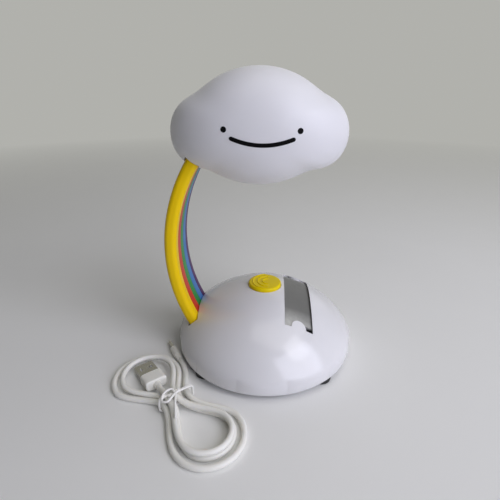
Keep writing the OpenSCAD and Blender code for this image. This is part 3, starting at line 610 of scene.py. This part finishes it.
def mirror_film(name, colour):
    """Mirror film: bright but grey, gently rippled. Its grey is partly a painted reflection of a dim
    surround, and its lighter ends, where it bends down, are a painted reflection.
    """
    n = Nodes(name)
    parts = n.add("ShaderNodeSeparateXYZ", {"Vector": n.place})
    far = n.add("ShaderNodeMath", {0: parts.outputs["Y"]}, operation="ABSOLUTE")
    # painted reflection: a lighter colour is mixed in towards the film's ends along Y
    ends = n.spread(far.outputs["Value"], 0.0, 1.0, 0.019, 0.029)
    flat = n.shade(n.noise(60.0, 2.0), colour * 0.93, colour * 1.05)
    painted_reflection = n.shade(n.noise(420.0, 3.0), colour * 1.7, colour * 2.9)
    ripple = n.bump(n.noise(110.0, 1.0), 0.10, 0.0012)
    return n.paint(
        n.shade(ends, flat, painted_reflection),
        n.spread(n.noise(160.0, 3.0), 0.34, 0.42),
        n.bump(n.noise(1500.0, 2.0), 0.03, 0.00005, ripple), Metallic=0.4, Specular_IOR_Level=0.5)


def cable_skin(name, colour):
    """Soft cable sheath: a satin skin with faint draw lines along it, from the cable's own UV map."""
    n = Nodes(name)
    along = n.add("ShaderNodeUVMap", uv_map="along")
    stretch = n.add("ShaderNodeMapping", {"Vector": along.outputs["UV"], "Scale": (20.0, 2.5, 1.0)})
    lines = n.noise(1.0, 3.0, 0.6, stretch.outputs["Vector"])
    skin = n.bump(n.noise(1600.0, 2.0), 0.12, 0.00006)
    return n.paint(
        n.shade(n.spread(n.noise(45.0, 3.0), 0, 1), colour * 0.93, colour),
        n.spread(n.noise(120.0, 4.0), 0.36, 0.52),
        n.bump(lines, 0.10, 0.0002, skin),
        IOR=1.5, Subsurface_Weight=0.15, Subsurface_Radius=(1.0, 0.9, 0.7), Subsurface_Scale=0.001)


def seen_rays(tree):
    """1 for what the camera sees, also in gloss or through glass, and 0 for light thrown back."""
    path = tree.nodes.new("ShaderNodeLightPath")
    seen = path.outputs["Is Camera Ray"]
    for ray in ("Is Glossy Ray", "Is Transmission Ray"):
        either = tree.nodes.new("ShaderNodeMath")
        either.operation = "MAXIMUM"
        tree.links.new(seen, either.inputs[0])
        tree.links.new(path.outputs[ray], either.inputs[1])
        seen = either.outputs["Value"]
    return seen


def pale_floor(name, colour, far):
    """Floor: a faint mottle near the lamp, which fades with distance into one even tone for what is seen
    or mirrored. It throws back light as the plain floor does."""
    fade_from, fade_to = 0.25, 1.2
    n = Nodes(name)
    n.paint(
        n.shade(n.noise(9.0, 3.0), colour * 0.975, colour),
        n.spread(n.noise(40.0, 4.0), 0.5, 0.62),
        n.bump(n.noise(900.0, 2.0), 0.04, 0.0001))
    reach = n.add("ShaderNodeVectorMath", {0: n.place}, operation="LENGTH")
    share = n.spread(reach.outputs["Value"], 0.0, 1.0, fade_from, fade_to)
    seen = n.add("ShaderNodeMath", {0: seen_rays(n.tree), 1: share}, operation="MULTIPLY")
    glow = n.add("ShaderNodeEmission", {"Color": (*far, 1)})
    mix = n.add("ShaderNodeMixShader", {
        "Fac": seen.outputs["Value"], 1: n.shader.outputs["BSDF"], 2: glow.outputs["Emission"]})
    n.feed(n.tree.nodes["Material Output"], {"Surface": mix.outputs["Shader"]})
    return n.material


FINISHES = {}

# Moulded finishes: colour, roughness and its spread, scale of the grain, and what sets them apart
MOULDED = {
    "white_gloss": ("base", 0.17, 0.035, 900.0, {"coat": 0.35, "soft": 0.12}),
    "white_matte": ("head", 0.42, 0.05, 1400.0, {"soft": 0.2}),
    "yellow_plastic": ("yellow", 0.38, 0.05, 1200.0, {"soft": 0.08, "shine": 0.2}),
    "button_plastic": ("button", 0.38, 0.05, 1200.0, {"soft": 0.08, "shine": 0.2}),
    **{colour + "_plastic": (colour, 0.36, 0.05, 1200.0, {"shine": 0.3})
       for colour in ("red", "green", "blue", "purple")},
    "black_plastic": ("black", 0.38, 0.06, 1500.0, {}),
    "plug_white": ("cable", 0.4, 0.05, 1300.0, {"soft": 0.15}),
    "tie_white": ("tie", 0.45, 0.06, 1800.0, {}),
    "face_ink": ("ink", 0.5, 0.06, 2600.0, {"shine": 0.07}),
}


def make_finishes():
    """Every finish, by the name of the record's slot where it has one."""
    chosen = bpy.context.scene.lamp_colours
    c = {name: np.array(tuple(getattr(chosen, name))) for name in LampColours.__annotations__}
    for name, (colour, rough, spread, grain, rest) in MOULDED.items():
        FINISHES[name] = moulded(name, c[colour], rough, spread, grain, **rest)
    FINISHES.update(
        black_rubber=rubber("black_rubber", c["black"]),
        screw_steel=plated("screw_steel", c["steel"], 0.3, 300.0),
        nickel=plated("nickel", c["nickel"], 0.2, 260.0),
        board_green=circuit_board("board_green", c["board"]),
        mirror_strip=mirror_film("mirror_strip", c["mirror"]),
        led_lens=clear_lens("led_lens", c["lens"]),
        cable_white=cable_skin("cable_white", c["cable"]),
        floor=pale_floor("pale_floor", c["floor"], c["far"]),
    )


# Cable


def hank_place(u, v, z):
    """A place on the hank's own axes: u along it, v across it towards the lamp."""
    return np.stack([
        HANK_AT[0] + u * HANK_DIR[0] - v * HANK_DIR[1],
        HANK_AT[1] + u * HANK_DIR[1] + v * HANK_DIR[0],
        z + 0.0 * u], -1)


def hank_points(turns):
    """The hank's middle line. A turn is two runs, drawn in at the waist by half a wave, joined by half
    circles at each bow. It spirals in, climbs to a second layer and spirals out again."""
    share = np.where(turns < SPIRAL_TURNS, 1 - turns / SPIRAL_TURNS, (turns - SPIRAL_TURNS) * UPPER_RATE)
    turn = turns - np.floor(turns)
    right = turn < 0.5
    f = np.where(right, 2 * turn, 2 * turn - 1)
    bow = np.where(right, BOW_RIGHT + BOW_STEP_RIGHT * share, BOW_LEFT + BOW_STEP_LEFT * share)
    shift = np.where(right, SHIFT_RIGHT, SHIFT_LEFT)
    waist = WAIST_STEP * share
    run_part = HANK_RUN / (2 * HANK_RUN + np.pi * bow)
    side = np.where(right, 1.0, -1.0)
    on_run = (f < run_part) | (f > 1 - run_part)
    along = np.where(f < run_part, f, 1 - f) / run_part
    swing = (f - run_part) / (1 - 2 * run_part) * np.pi
    first = np.where(f < 0.5, side, -side)
    half_wave = (1 - np.cos(np.pi * along)) / 2
    u = np.where(on_run, side * HANK_RUN * along, side * (HANK_RUN + bow * np.sin(swing)))
    v = np.where(on_run, first * waist + (first * (bow - waist) + shift) * half_wave,
                 side * bow * np.cos(swing) + shift)
    climb = np.clip((turns - CLIMB[0]) / (CLIMB[1] - CLIMB[0]), 0, 1)
    lift = WAIST_LIFT * (1 + np.cos(np.pi * np.minimum(1, np.abs(u) / WAIST_LIFT_RUN))) / 2
    z = LOW_Z + (HIGH_Z - LOW_Z) * climb**2 * (3 - 2 * climb) + lift
    return hank_place(u, v, z)


def heading_of(heading, lean):
    """Direction of a plug from its heading and its lean."""
    h, l = np.radians(heading), np.radians(lean)
    return np.array([np.cos(h) * np.cos(l), np.sin(h) * np.cos(l), -np.sin(l)])


def lead_path(start, start_way, end, end_way, reach):
    """A lead that runs straight for one diameter at both ends, with one cubic bend between."""
    a, d = start + CORD_D * start_way, end - CORD_D * end_way
    b, c = a + reach * start_way, d - reach * end_way
    t = np.linspace(0, 1, 60)[:, None]
    bend = (1 - t) ** 3 * a + 3 * t * (1 - t) ** 2 * b + 3 * t**2 * (1 - t) * c + t**3 * d
    return np.concatenate([[start], bend, [end]])


def cable_path():
    """The whole cable: round plug, lead, hank, lead, flat plug."""
    hank = hank_points(np.linspace(HANK_FROM, HANK_TURNS, 3000))
    first_way = unit(hank_points(np.array([HANK_FROM + 0.005]))[0] - hank[0])
    last_way = np.array([-HANK_DIR[0], -HANK_DIR[1], 0.0])
    dc = lead_path(hank[0], -first_way, DC_TAIL, heading_of(DC_HEADING, 0), DC_REACH)
    usb = lead_path(hank[-1], last_way, USB_TAIL, heading_of(USB_HEADING, USB_LEAN), USB_REACH)
    return even_path(np.concatenate([dc[::-1], hank[1:], usb[1:]]), 0.8)


def tube_uv(mesh, rings, sides, length):
    """UV map of a tube: across it from 0 to 1, and along it in millimetres."""
    corners = np.empty(len(mesh.loops), np.int32)
    mesh.loops.foreach_get("vertex_index", corners)
    uv = np.stack([(corners % sides) / sides, (corners // sides) / rings * length], 1)
    mesh.uv_layers.new(name="along").data.foreach_set("uv", uv.astype(np.float32).ravel())


def plug_place(points, tail, heading, lean):
    """Turns points from a plug's own axes, tail at 0 and pointing along X, to where it lies."""
    x = heading_of(heading, lean)
    y = unit(np.cross(UP, x))
    return tail + points[..., :1] * x + points[..., 1:2] * y + points[..., 2:] * np.cross(x, y)


class LAMP_OT_plugs(bpy.types.Operator):
    """Makes both plugs: rounded overmoulds, a barrel and a folded shell with latch windows"""

    bl_idname = "lamp.plugs"
    bl_label = "Plugs"

    # Flat plug: rounding of its ends, finger hollow, and how square its body and its shell are
    EASE = 0.9
    FLANK = 1.6
    HOLLOW = 0.28
    BODY_SQUARE = 0.36
    SHELL_SQUARE = 0.22
    SHELL_WALL = 0.4
    # Latch windows: middle and half size along and across the shell, and the height they lie above
    WINDOW_AT = (6.0, 2.7)
    WINDOW_HALF = (1.2, 1.15)
    WINDOW_ABOVE = 1.9
    # Round plug: its ribbed relief, its shoulder, the waves of its grip and its nose
    RELIEF_L = 4.0
    RIB = 0.09
    RIBS = 3.6
    SHOULDER = 0.5
    GRIP_WAVE = 0.10
    NOSE = 0.6
    # Barrel: places behind its tip, and how far each lies below its radius
    BARREL_BACK = (1.3, 1.25, 1.05, 1.0, 0.25, 0.0)
    BARREL_BELOW = (0.08, 0.2, 0.2, 0.08, 0.08, 0.3)
    BARREL_BORE = 4.0

    def execute(self, context):
        self.flat_body()
        self.flat_shell()
        self.round_body()
        self.round_barrel()
        return {"FINISHED"}

    def flat_body(self):
        """Loft from the round tail to a rounded box with eased ends and a shallow finger hollow."""
        front, middle = USB_TAIL_L + USB_BODY[0], 15
        turn = np.linspace(0, np.pi / 2, 7)
        along = np.concatenate([
            [0, 0.8, 1.7], USB_TAIL_L - 0.2 + self.EASE * (1 - np.cos(turn)),
            np.linspace(USB_TAIL_L + self.FLANK, front - self.FLANK, middle),
            front - self.EASE + self.EASE * np.sin(turn)])
        grow = np.concatenate([np.zeros(3), np.sin(turn), np.ones(middle), np.cos(turn)])
        hollow = np.concatenate([
            np.zeros(10), self.HOLLOW * np.sin(np.linspace(0, np.pi, middle)) ** 2, np.zeros(7)])
        box = grow > 0
        tail = CORD_D / 2 + 0.35 + 0.12 * np.arange(len(along))
        half_y, half_z = (np.where(box, size / 2 - self.EASE * (1 - grow), tail) for size in USB_BODY[1:])
        points, faces = lofted(along, half_y - hollow, half_z, np.where(box, self.BODY_SQUARE, 1.0), 64)
        new_piece("usb_plug_overmould", plug_place(points, USB_TAIL, USB_HEADING, USB_LEAN), faces,
                  "plug_white", "cable_white", ["usb_plug_body"], 50)

    def flat_shell(self):
        """Folded sheet: a rounded oblong section along X, with four latch windows left out of its grid."""
        rows, sides = 39, 128
        along = np.linspace(0, USB_SHELL[0], rows) + USB_TAIL_L + USB_BODY[0]
        section = [np.full(rows, v) for v in (USB_SHELL[1] / 2, USB_SHELL[2] / 2, self.SHELL_SQUARE)]
        points, _ = lofted(along, *section, sides)
        faces = np.array(grid_faces(rows, sides))
        x, y, z = np.abs(points.reshape(-1, 3)[faces].mean(1) - (along[0] + self.WINDOW_AT[0], 0, 0)).T
        window = (x < self.WINDOW_HALF[0]) & (np.abs(y - self.WINDOW_AT[1]) < self.WINDOW_HALF[1])
        window &= z > self.WINDOW_ABOVE
        piece = new_piece("usb_plug_sleeve", plug_place(points, USB_TAIL, USB_HEADING, USB_LEAN),
                          faces[~window].tolist(), "nickel", "nickel", ["usb_plug_shell"], 40)
        wall = piece.modifiers.new("wall", "SOLIDIFY")
        wall.thickness, wall.offset = self.SHELL_WALL * MM, -1.0

    def round_body(self):
        """Turned profile: a relief with ribs of a cosine, then a wavy grip with eased ends."""
        turn, grips = np.linspace(0, np.pi / 2, 6), 25
        share = np.linspace(0, 1, 33)
        relief = CORD_D / 2 + 0.25 + share * (DC_BODY_R - CORD_D / 2 - 0.45)
        along = np.concatenate([
            share * self.RELIEF_L, self.RELIEF_L + 0.15 + self.SHOULDER * (1 - np.cos(turn)),
            np.linspace(self.RELIEF_L + 0.9, DC_BODY_L - 1.0, grips),
            DC_BODY_L - self.NOSE + self.NOSE * np.sin(turn)])
        radius = np.concatenate([
            relief + self.RIB * np.cos(share * self.RIBS * 2 * np.pi),
            DC_BODY_R - self.SHOULDER * (1 - np.sin(turn)),
            DC_BODY_R - self.GRIP_WAVE * np.sin(np.linspace(0, 5 * np.pi, grips)) ** 2,
            DC_BODY_R - self.NOSE * (1 - np.cos(turn))])
        points, faces = turned(along, radius, 40)
        new_piece("dc_plug_overmould", plug_place(points, DC_TAIL, DC_HEADING, 0), faces,
                  "plug_white", "cable_white", ["dc_plug_body"], 45)

    def round_barrel(self):
        """Turned profile: a collar, a plain barrel with a ring, an eased tip and a bore."""
        end, bore = DC_BODY_L + DC_BARREL_L, DC_BARREL_R / 2
        along = [DC_BODY_L, DC_BODY_L + 0.5, DC_BODY_L + 0.55, *(end - np.array(self.BARREL_BACK)),
                 end, end - self.BARREL_BORE]
        radius = [DC_BARREL_R, DC_BARREL_R, DC_BARREL_R - self.BARREL_BELOW[0],
                  *(DC_BARREL_R - np.array(self.BARREL_BELOW)), bore, bore]
        points, faces = turned(along, radius, 40)
        new_piece("dc_plug_tip", plug_place(points, DC_TAIL, DC_HEADING, 0), faces,
                  "nickel", "nickel", ["dc_plug_barrel"], 30)


class LAMP_OT_cable(bpy.types.Operator):
    """Makes the cable as one tube from plug to plug"""

    bl_idname = "lamp.cable"
    bl_label = "Cable"

    def execute(self, context):
        path, sides = cable_path(), 24
        length = path_length(path)
        cable = new_piece("cable", *round_tube(path, CORD_D / 2, sides), "cable_white", "cable_white",
                          ["cord_hank", "cord_lead_dc", "cord_lead_usb"])
        tube_uv(cable.data, len(path), sides, length)
        return {"FINISHED"}


class LAMP_OT_tie(bpy.types.Operator):
    """Makes the wire tie: two wraps round the waist, a knot, a loop and a tail"""

    bl_idname = "lamp.tie"
    bl_label = "Tie"

    # Wraps: their first angle and their sweep in degrees, and half their spread along the hank
    WRAP_FROM = 100
    WRAP_SWEEP = 718
    WRAP_SPREAD = 0.75
    # Knot: its height, its half sizes along and up, and half its length across the hank
    KNOT_Z = 10.15
    KNOT_HALF = (1.05, 0.75)
    KNOT_REACH = 1.6
    STEP = 0.35
    SIDES = 12

    def execute(self, context):
        across = np.append(HANK_DIR, 0.0)
        a = np.radians(np.linspace(self.WRAP_FROM, self.WRAP_FROM + self.WRAP_SWEEP, 260))
        c, s = np.cos(a), np.sin(a)
        wraps = hank_place(
            np.linspace(-self.WRAP_SPREAD, self.WRAP_SPREAD, len(a)),
            TIE_MID[0] + TIE_HALF[0] * np.sign(c) * np.abs(c) ** TIE_SQUARE,
            TIE_MID[1] + TIE_HALF[1] * np.sign(s) * np.abs(s) ** TIE_SQUARE)
        k = np.linspace(0, 5 * np.pi, 90)
        knot = hank_place(
            self.KNOT_HALF[0] * np.cos(k),
            TIE_MID[0] + np.linspace(self.KNOT_REACH, -self.KNOT_REACH, len(k)),
            self.KNOT_Z + self.KNOT_HALF[1] * np.sin(k))
        points, faces = join_parts([
            round_tube(even_path(wraps, self.STEP), TIE_D / 2, self.SIDES, across),
            round_tube(knot, TIE_KNOT_D / 2, self.SIDES, across + 0.01 * UP),
            self.wire(TIE_LOOP), self.wire(TIE_TAIL)])
        new_piece("cable_tie", points, faces, "tie_white", "white_matte", ["cord_tie"])
        return {"FINISHED"}

    def wire(self, marks):
        """A wire through marks on the hank's own axes, counted from the middle of the tie."""
        path = curve_through(marks, 14)
        placed = hank_place(path[:, 0], path[:, 1] + TIE_MID[0], path[:, 2])
        return round_tube(even_path(placed, self.STEP), TIE_KNOT_D / 2, self.SIDES)


# Lamp


class LAMP_OT_base(bpy.types.Operator):
    """Gives the base its gloss skin, shaded from the exact dome, lobes and rim, and smooths the feet"""

    bl_idname = "lamp.base"
    bl_label = "Base"

    def execute(self, context):
        mesh = merged_mesh("base_shell", "base_skin", FINISHES["white_gloss"])
        shade_by_surface(mesh, base_normals, 0.8)
        add_piece("base_skin", mesh, "base", ["base_shell"])
        smooth_solid("rubber_feet", "feet", "black_rubber", 30)
        return {"FINISHED"}


class LAMP_OT_button(bpy.types.Operator):
    """Smooths the power button with its three ridges; it moves with the button"""

    bl_idname = "lamp.button"
    bl_label = "Button"

    def execute(self, context):
        smooth_solid("power_button", "button_cap", "button_plastic", 32, "button")
        return {"FINISHED"}


class LAMP_OT_projector(bpy.types.Operator):
    """Gives the projector's strip its mirror film, shaded from the exact curve of the groove"""

    bl_idname = "lamp.projector"
    bl_label = "Projector"

    def execute(self, context):
        mesh = merged_mesh("reflector_strip", "mirror_strip", FINISHES["mirror_strip"])
        shade_by_surface(mesh, dome_normals(STRIP_DEPTH), 0.93)
        add_piece("mirror_strip", mesh, "base", ["reflector_strip"])
        return {"FINISHED"}


class LAMP_OT_arm(bpy.types.Operator):
    """Smooths the five bands of the arm"""

    bl_idname = "lamp.arm"
    bl_label = "Arm"

    def execute(self, context):
        for colour in ("yellow", "red", "green", "blue", "purple"):
            slot = colour + "_plastic"
            smooth_solid("arm_band_" + colour, "band_" + colour, slot, 35)
        return {"FINISHED"}


def arm_circle():
    """Middle of the arm's curve, and its angle at the top."""
    radius = ARM_R - ARM_T / 2
    chord = ARM_HEAD - ARM_FOOT
    rise = np.sqrt(radius**2 - (chord @ chord) / 4)
    middle = (ARM_FOOT + ARM_HEAD) / 2 + rise * unit(np.array([chord[2], 0.0, -chord[0]]))
    top = ARM_HEAD - middle
    return middle, np.arctan2(top[2], top[0])


class LAMP_OT_head(bpy.types.Operator):
    """Makes the head's two halves as fine hollow skins, with the opening for the arm"""

    bl_idname = "lamp.head"
    bl_label = "Head"

    # Angles in degrees: where the opening starts and ends past the arm's top, the tilt of each ring of the
    # outer and the inner skin, and where the seam starts
    OPENING = (2, 30)
    OUTER = np.linspace(0.8, 90, 90)
    INNER = np.linspace(2, 90, 24)
    SEAM_FROM = 89.2
    SIDES = 288

    def execute(self, context):
        cutter = self.arm_opening()
        self.half("head_front", -1.0, cutter, "head_front_shell")
        self.half("head_rear", 1.0, cutter, "head_rear_shell")
        bpy.data.objects.remove(cutter)
        return {"FINISHED"}

    def arm_opening(self):
        """Oblong section, wider than the arm by its gap, carried along the arm's curve below its top."""
        middle, top = arm_circle()
        a = top + np.radians(np.linspace(*self.OPENING, 40))[:, None]
        out = np.array([ARM_R - ARM_T - ARM_GAP, ARM_R + ARM_GAP, ARM_R + ARM_GAP, ARM_R - ARM_T - ARM_GAP])
        wide = (2.5 * BAND_W + ARM_GAP) * np.array([-1.0, -1.0, 1.0, 1.0])
        points = middle + np.stack([np.cos(a) * out, wide + 0 * a, np.sin(a) * out], -1)
        mesh = mesh_of("arm_opening", points, capped_faces(len(a), 4), FINISHES["white_matte"])
        return put("arm_opening", mesh)

    def half(self, name, side, cutter, node):
        """Rings of tilt 0 to 90 degrees from the face, each reaching head_reach along
        (sin t cos a, +-cos t, sin t sin a). The last ring draws in to leave a fine seam."""
        draw = np.clip((self.OUTER - self.SEAM_FROM) / (90 - self.SEAM_FROM), 0, 1)
        outer = self.skin(side, self.OUTER, 0.0, bpy.context.scene.lamp_sizes.seam / MM * draw)
        inner = self.skin(side, self.INNER, HEAD_WALL, np.zeros(len(self.INNER)))
        points = np.concatenate([inner, outer[::-1]])
        mesh = mesh_of(name, points, capped_faces(len(points), self.SIDES), FINISHES["white_matte"])
        piece = put(name, mesh)
        cut = piece.modifiers.new("opening", "BOOLEAN")
        cut.object, cut.operation, cut.solver = cutter, "DIFFERENCE", "EXACT"
        bpy.context.view_layer.update()
        done = bpy.data.meshes.new_from_object(piece.evaluated_get(bpy.context.evaluated_depsgraph_get()))
        bpy.data.objects.remove(piece)
        done.name = name
        shade_by_surface(dress(done, FINISHES["white_matte"]), head_normals, 0.85)
        add_piece(name, done, "base", [node])

    def skin(self, side, tilts, inset, draw):
        """Rings at each tilt, inset from the head's skin and drawn in."""
        turn = np.linspace(0, 2 * np.pi, self.SIDES, endpoint=False)
        tilt = np.radians(tilts)[:, None]
        way = np.stack([
            np.sin(tilt) * np.cos(turn), side * np.cos(tilt) + 0 * turn, np.sin(tilt) * np.sin(turn)], -1)
        return HEAD_AT + way * (head_reach(way, inset) - draw[:, None])[..., None]


class LAMP_OT_face(bpy.types.Operator):
    """Prints the two eyes and the smile on the head's front skin"""

    bl_idname = "lamp.face"
    bl_label = "Face"

    EYES = ((-21.2, 148.55), (16.5, 147.95))
    SMILE_MIDDLE = -2.12
    SMILE_ENDS = 144.1
    SMILE_SAG = 2.93
    SMILE_TILT = 0.2
    # Print: shares of the half width from its middle outwards, and the height of the ink at each
    DOT_SHARE = (0.02, 0.25, 0.5, 0.75, 0.92, 1.0, 1.0)
    DOT_HEIGHT = (1.0, 1.0, 1.0, 1.0, 0.9, 0.3, -1.5)
    LINE_SHARE = (-1, -1, -0.9, -0.6, 0, 0.6, 0.9, 1, 1)
    LINE_HEIGHT = (-1.5, 0.3, 0.9, 1, 1, 1, 0.9, 0.3, -1.5)

    def execute(self, context):
        sizes = context.scene.lamp_sizes
        parts = [self.dot(x, z, sizes.eye / MM / 2, sizes.ink / MM) for x, z in self.EYES]
        parts.append(self.line(sizes.smile / MM, sizes.stroke / MM / 2, sizes.ink / MM))
        new_piece("face_print", *join_parts(parts), "face_ink", "black_plastic")
        return {"FINISHED"}

    def lay(self, x, z, height):
        """Points on the head's skin at (x, z), raised along its normal by a height."""
        at = np.stack([x, face_depth(x, z), z], -1)
        return at + unit(head_normals(at.reshape(-1, 3))).reshape(at.shape) * height[..., None]

    def dot(self, x, z, radius, ink):
        """Disc in rings of radius r and turn t: (x + r cos t, z + r sin t), raised inside its rounded edge
        and closed by a sunk back."""
        r, height = radius * np.array(self.DOT_SHARE)[:, None], ink * np.array(self.DOT_HEIGHT)[:, None]
        turn = np.linspace(0, 2 * np.pi, 40, endpoint=False)[None]
        points = self.lay(x + r * np.cos(turn), z + r * np.sin(turn), height + 0 * turn)
        return points, capped_faces(len(r), 40)

    def line(self, half, stroke, ink):
        """Smile: z = ends - sag * (1 - s^2) - tilt * s over s from -1 to 1, as a strip of half width w(s),
        which closes in half circles at both ends. Across it, the print is raised inside its rounded edges."""
        long = half + stroke
        s = np.sin(np.linspace(-np.pi / 2, np.pi / 2, 141))[:, None] * 0.9999
        over = np.clip((np.abs(s) * long - half) / stroke, 0, 1)
        width = stroke * np.sqrt(np.maximum(1 - over**2, 1e-4))
        across = np.array(self.LINE_SHARE)[None]
        height = np.array(self.LINE_HEIGHT)[None] * ink + 0 * s
        slope = (2 * self.SMILE_SAG * s * long / half - self.SMILE_TILT) / half
        lean = 1 / np.sqrt(1 + slope**2)
        x = self.SMILE_MIDDLE + s * long - across * width * slope * lean
        z = self.SMILE_ENDS - self.SMILE_SAG * (1 - (s * long / half) ** 2) - self.SMILE_TILT * s
        z = z + across * width * lean
        return self.lay(x, z, height), capped_faces(len(s), across.shape[1])


class LAMP_OT_fittings(bpy.types.Operator):
    """Gives every solid that still shows the finish of its slot, smoothed where it is round"""

    bl_idname = "lamp.fittings"
    bl_label = "Fittings"

    ROUND = ("base_plate", "base_screws", "switch_plunger", "pcb_screws", "dc_socket", "dc_socket_pin",
             "projector_cradle", "projector_leds", "clamp_screws", "light_lead", "head_screws")
    BODY = {"switch_plunger": "button"}

    def execute(self, context):
        for part in frame["record"]["subparts"]:
            node, slot = part["node"], part["material_slot"]
            source = frame["nodes"][node]
            if source.hide_render:
                continue
            if node in self.ROUND:
                smooth_solid(node, node + "_smooth", slot, 30, self.BODY.get(node, "base"))
            else:
                source.data.materials.clear()
                source.data.materials.append(FINISHES["white_gloss" if slot == "cable_white" else slot])
        return {"FINISHED"}


# Stage


class LAMP_OT_stage(bpy.types.Operator):
    """Sets the camera, the pale floor with its backdrop, and the lights"""

    bl_idname = "lamp.stage"
    bl_label = "Stage"

    CAMERA_AT = (0.0032, -0.2227, 0.1685)
    CAMERA_TILT = 66.23
    CAMERA_TURN = 3.4
    CAMERA_LENS = 27.0
    SENSOR = 36.0
    # Lights: where each stands, the height on the lamp's axis that it faces, its size and its colour
    LIGHTS = {
        "window": ((0.74, -0.66, 0.50), 0.07, (1.0, 1.0), (0.845, 0.85, 1.0)),
        "pane": ((0.62, -0.40, 0.80), 0.05, (0.40, 0.45), (0.91, 0.92, 1.0)),
        "back": ((0.30, 0.85, 0.60), 0.07, (1.0, 1.0), (1.0, 0.99, 0.95)),
        "top": ((0.25, -0.05, 0.95), 0.05, (0.9, 0.9), (1.0, 0.99, 0.97)),
    }
    SKY = (1.0, 0.985, 0.88, 1.0)
    # Floor: half its width, its front edge, where it bends up, the bend's radius and the backdrop's top
    FLOOR_HALF = 2200.0
    FLOOR_FRONT = -1600.0
    FLOOR_BACK = 1100.0
    FLOOR_BEND = 700.0
    FLOOR_TOP = 1500.0

    def execute(self, context):
        scene = context.scene
        scene.view_settings.view_transform = "Standard"
        lens = bpy.data.cameras.new("camera")
        lens.lens, lens.sensor_width, lens.clip_start = self.CAMERA_LENS, self.SENSOR, 0.005
        scene.camera = put("camera", lens)
        scene.camera.location = self.CAMERA_AT
        scene.camera.rotation_euler = (np.radians(self.CAMERA_TILT), 0.0, np.radians(self.CAMERA_TURN))
        self.floor()
        for name, (at, height, size, colour) in self.LIGHTS.items():
            self.light(name, at, (0.0, 0.0, height), size, getattr(scene.lamp_stage, name), colour)
        self.surround(scene, scene.lamp_stage.sky, scene.lamp_colours.far)
        return {"FINISHED"}

    def surround(self, scene, strength, far):
        """Even warm light from all sides, which shows as the same tone that the floor fades into."""
        scene.world = bpy.data.worlds.new("surround")
        scene.world.use_nodes = True
        tree = scene.world.node_tree
        light, tone = tree.nodes["Background"], tree.nodes.new("ShaderNodeBackground")
        light.inputs["Color"].default_value = self.SKY
        light.inputs["Strength"].default_value = strength
        tone.inputs["Color"].default_value = (*far, 1.0)
        mix = tree.nodes.new("ShaderNodeMixShader")
        tree.links.new(seen_rays(tree), mix.inputs["Fac"])
        tree.links.new(light.outputs["Background"], mix.inputs[1])
        tree.links.new(tone.outputs["Background"], mix.inputs[2])
        tree.links.new(mix.outputs["Shader"], tree.nodes["World Output"].inputs["Surface"])

    def floor(self):
        """Floor that bends up into a backdrop: a straight run, a quarter circle and a straight rise."""
        turn = np.linspace(0, np.pi / 2, 24)
        bend = self.FLOOR_BEND
        y = np.concatenate([
            [self.FLOOR_FRONT, -600.0, 0.0, 600.0], self.FLOOR_BACK + bend * np.sin(turn),
            [self.FLOOR_BACK + bend]])
        z = np.concatenate([np.zeros(4), bend * (1 - np.cos(turn)), [self.FLOOR_TOP]])
        x = np.linspace(-self.FLOOR_HALF, self.FLOOR_HALF, 12)[:, None]
        points = np.stack([x + 0 * y, y + 0 * x, z + 0 * x], -1)
        mesh = mesh_of("floor", points, grid_faces(len(x), len(y), False), FINISHES["floor"])
        floor = put("floor", mesh)

    def light(self, name, at, towards, size, power, colour):
        """A soft rectangular light that faces a point."""
        lamp = bpy.data.lights.new(name, "AREA")
        lamp.shape, lamp.size, lamp.size_y = "RECTANGLE", *size
        lamp.energy, lamp.color = power, colour
        holder = put(name, lamp)
        holder.location = at
        holder.rotation_euler = (Vector(towards) - Vector(at)).to_track_quat("-Z", "Y").to_euler()


class LAMP_PT_lamp(bpy.types.Panel):
    """Lists the lamp's settings and the steps that dress it"""

    bl_idname = "LAMP_PT_lamp"
    bl_label = "LED projector lamp"
    bl_space_type = "VIEW_3D"
    bl_region_type = "UI"
    bl_category = "Lamp"

    def draw(self, context):
        for group in (context.scene.lamp_sizes, context.scene.lamp_colours, context.scene.lamp_stage):
            box = self.layout.box()
            for name in group.__annotations__:
                box.prop(group, name)
        for step in STEPS:
            self.layout.operator(step.bl_idname)


STEPS = (LAMP_OT_stage, LAMP_OT_plugs, LAMP_OT_tie, LAMP_OT_cable, LAMP_OT_base, LAMP_OT_button,
         LAMP_OT_projector, LAMP_OT_arm, LAMP_OT_head, LAMP_OT_face, LAMP_OT_fittings)
GROUPS = {"lamp_sizes": LampSizes, "lamp_colours": LampColours, "lamp_stage": LampStage}


def register():
    for kind in (*GROUPS.values(), *STEPS, LAMP_PT_lamp):
        bpy.utils.register_class(kind)
    for name, kind in GROUPS.items():
        setattr(bpy.types.Scene, name, PointerProperty(type=kind))


def unregister():
    for name in GROUPS:
        delattr(bpy.types.Scene, name)
    for kind in (LAMP_PT_lamp, *reversed(STEPS), *GROUPS.values()):
        bpy.utils.unregister_class(kind)


def main():
    register()
    make_finishes()
    for step in STEPS:
        getattr(bpy.ops.lamp, step.bl_idname.split(".")[1])()


if __name__ == "__main__":
    main()
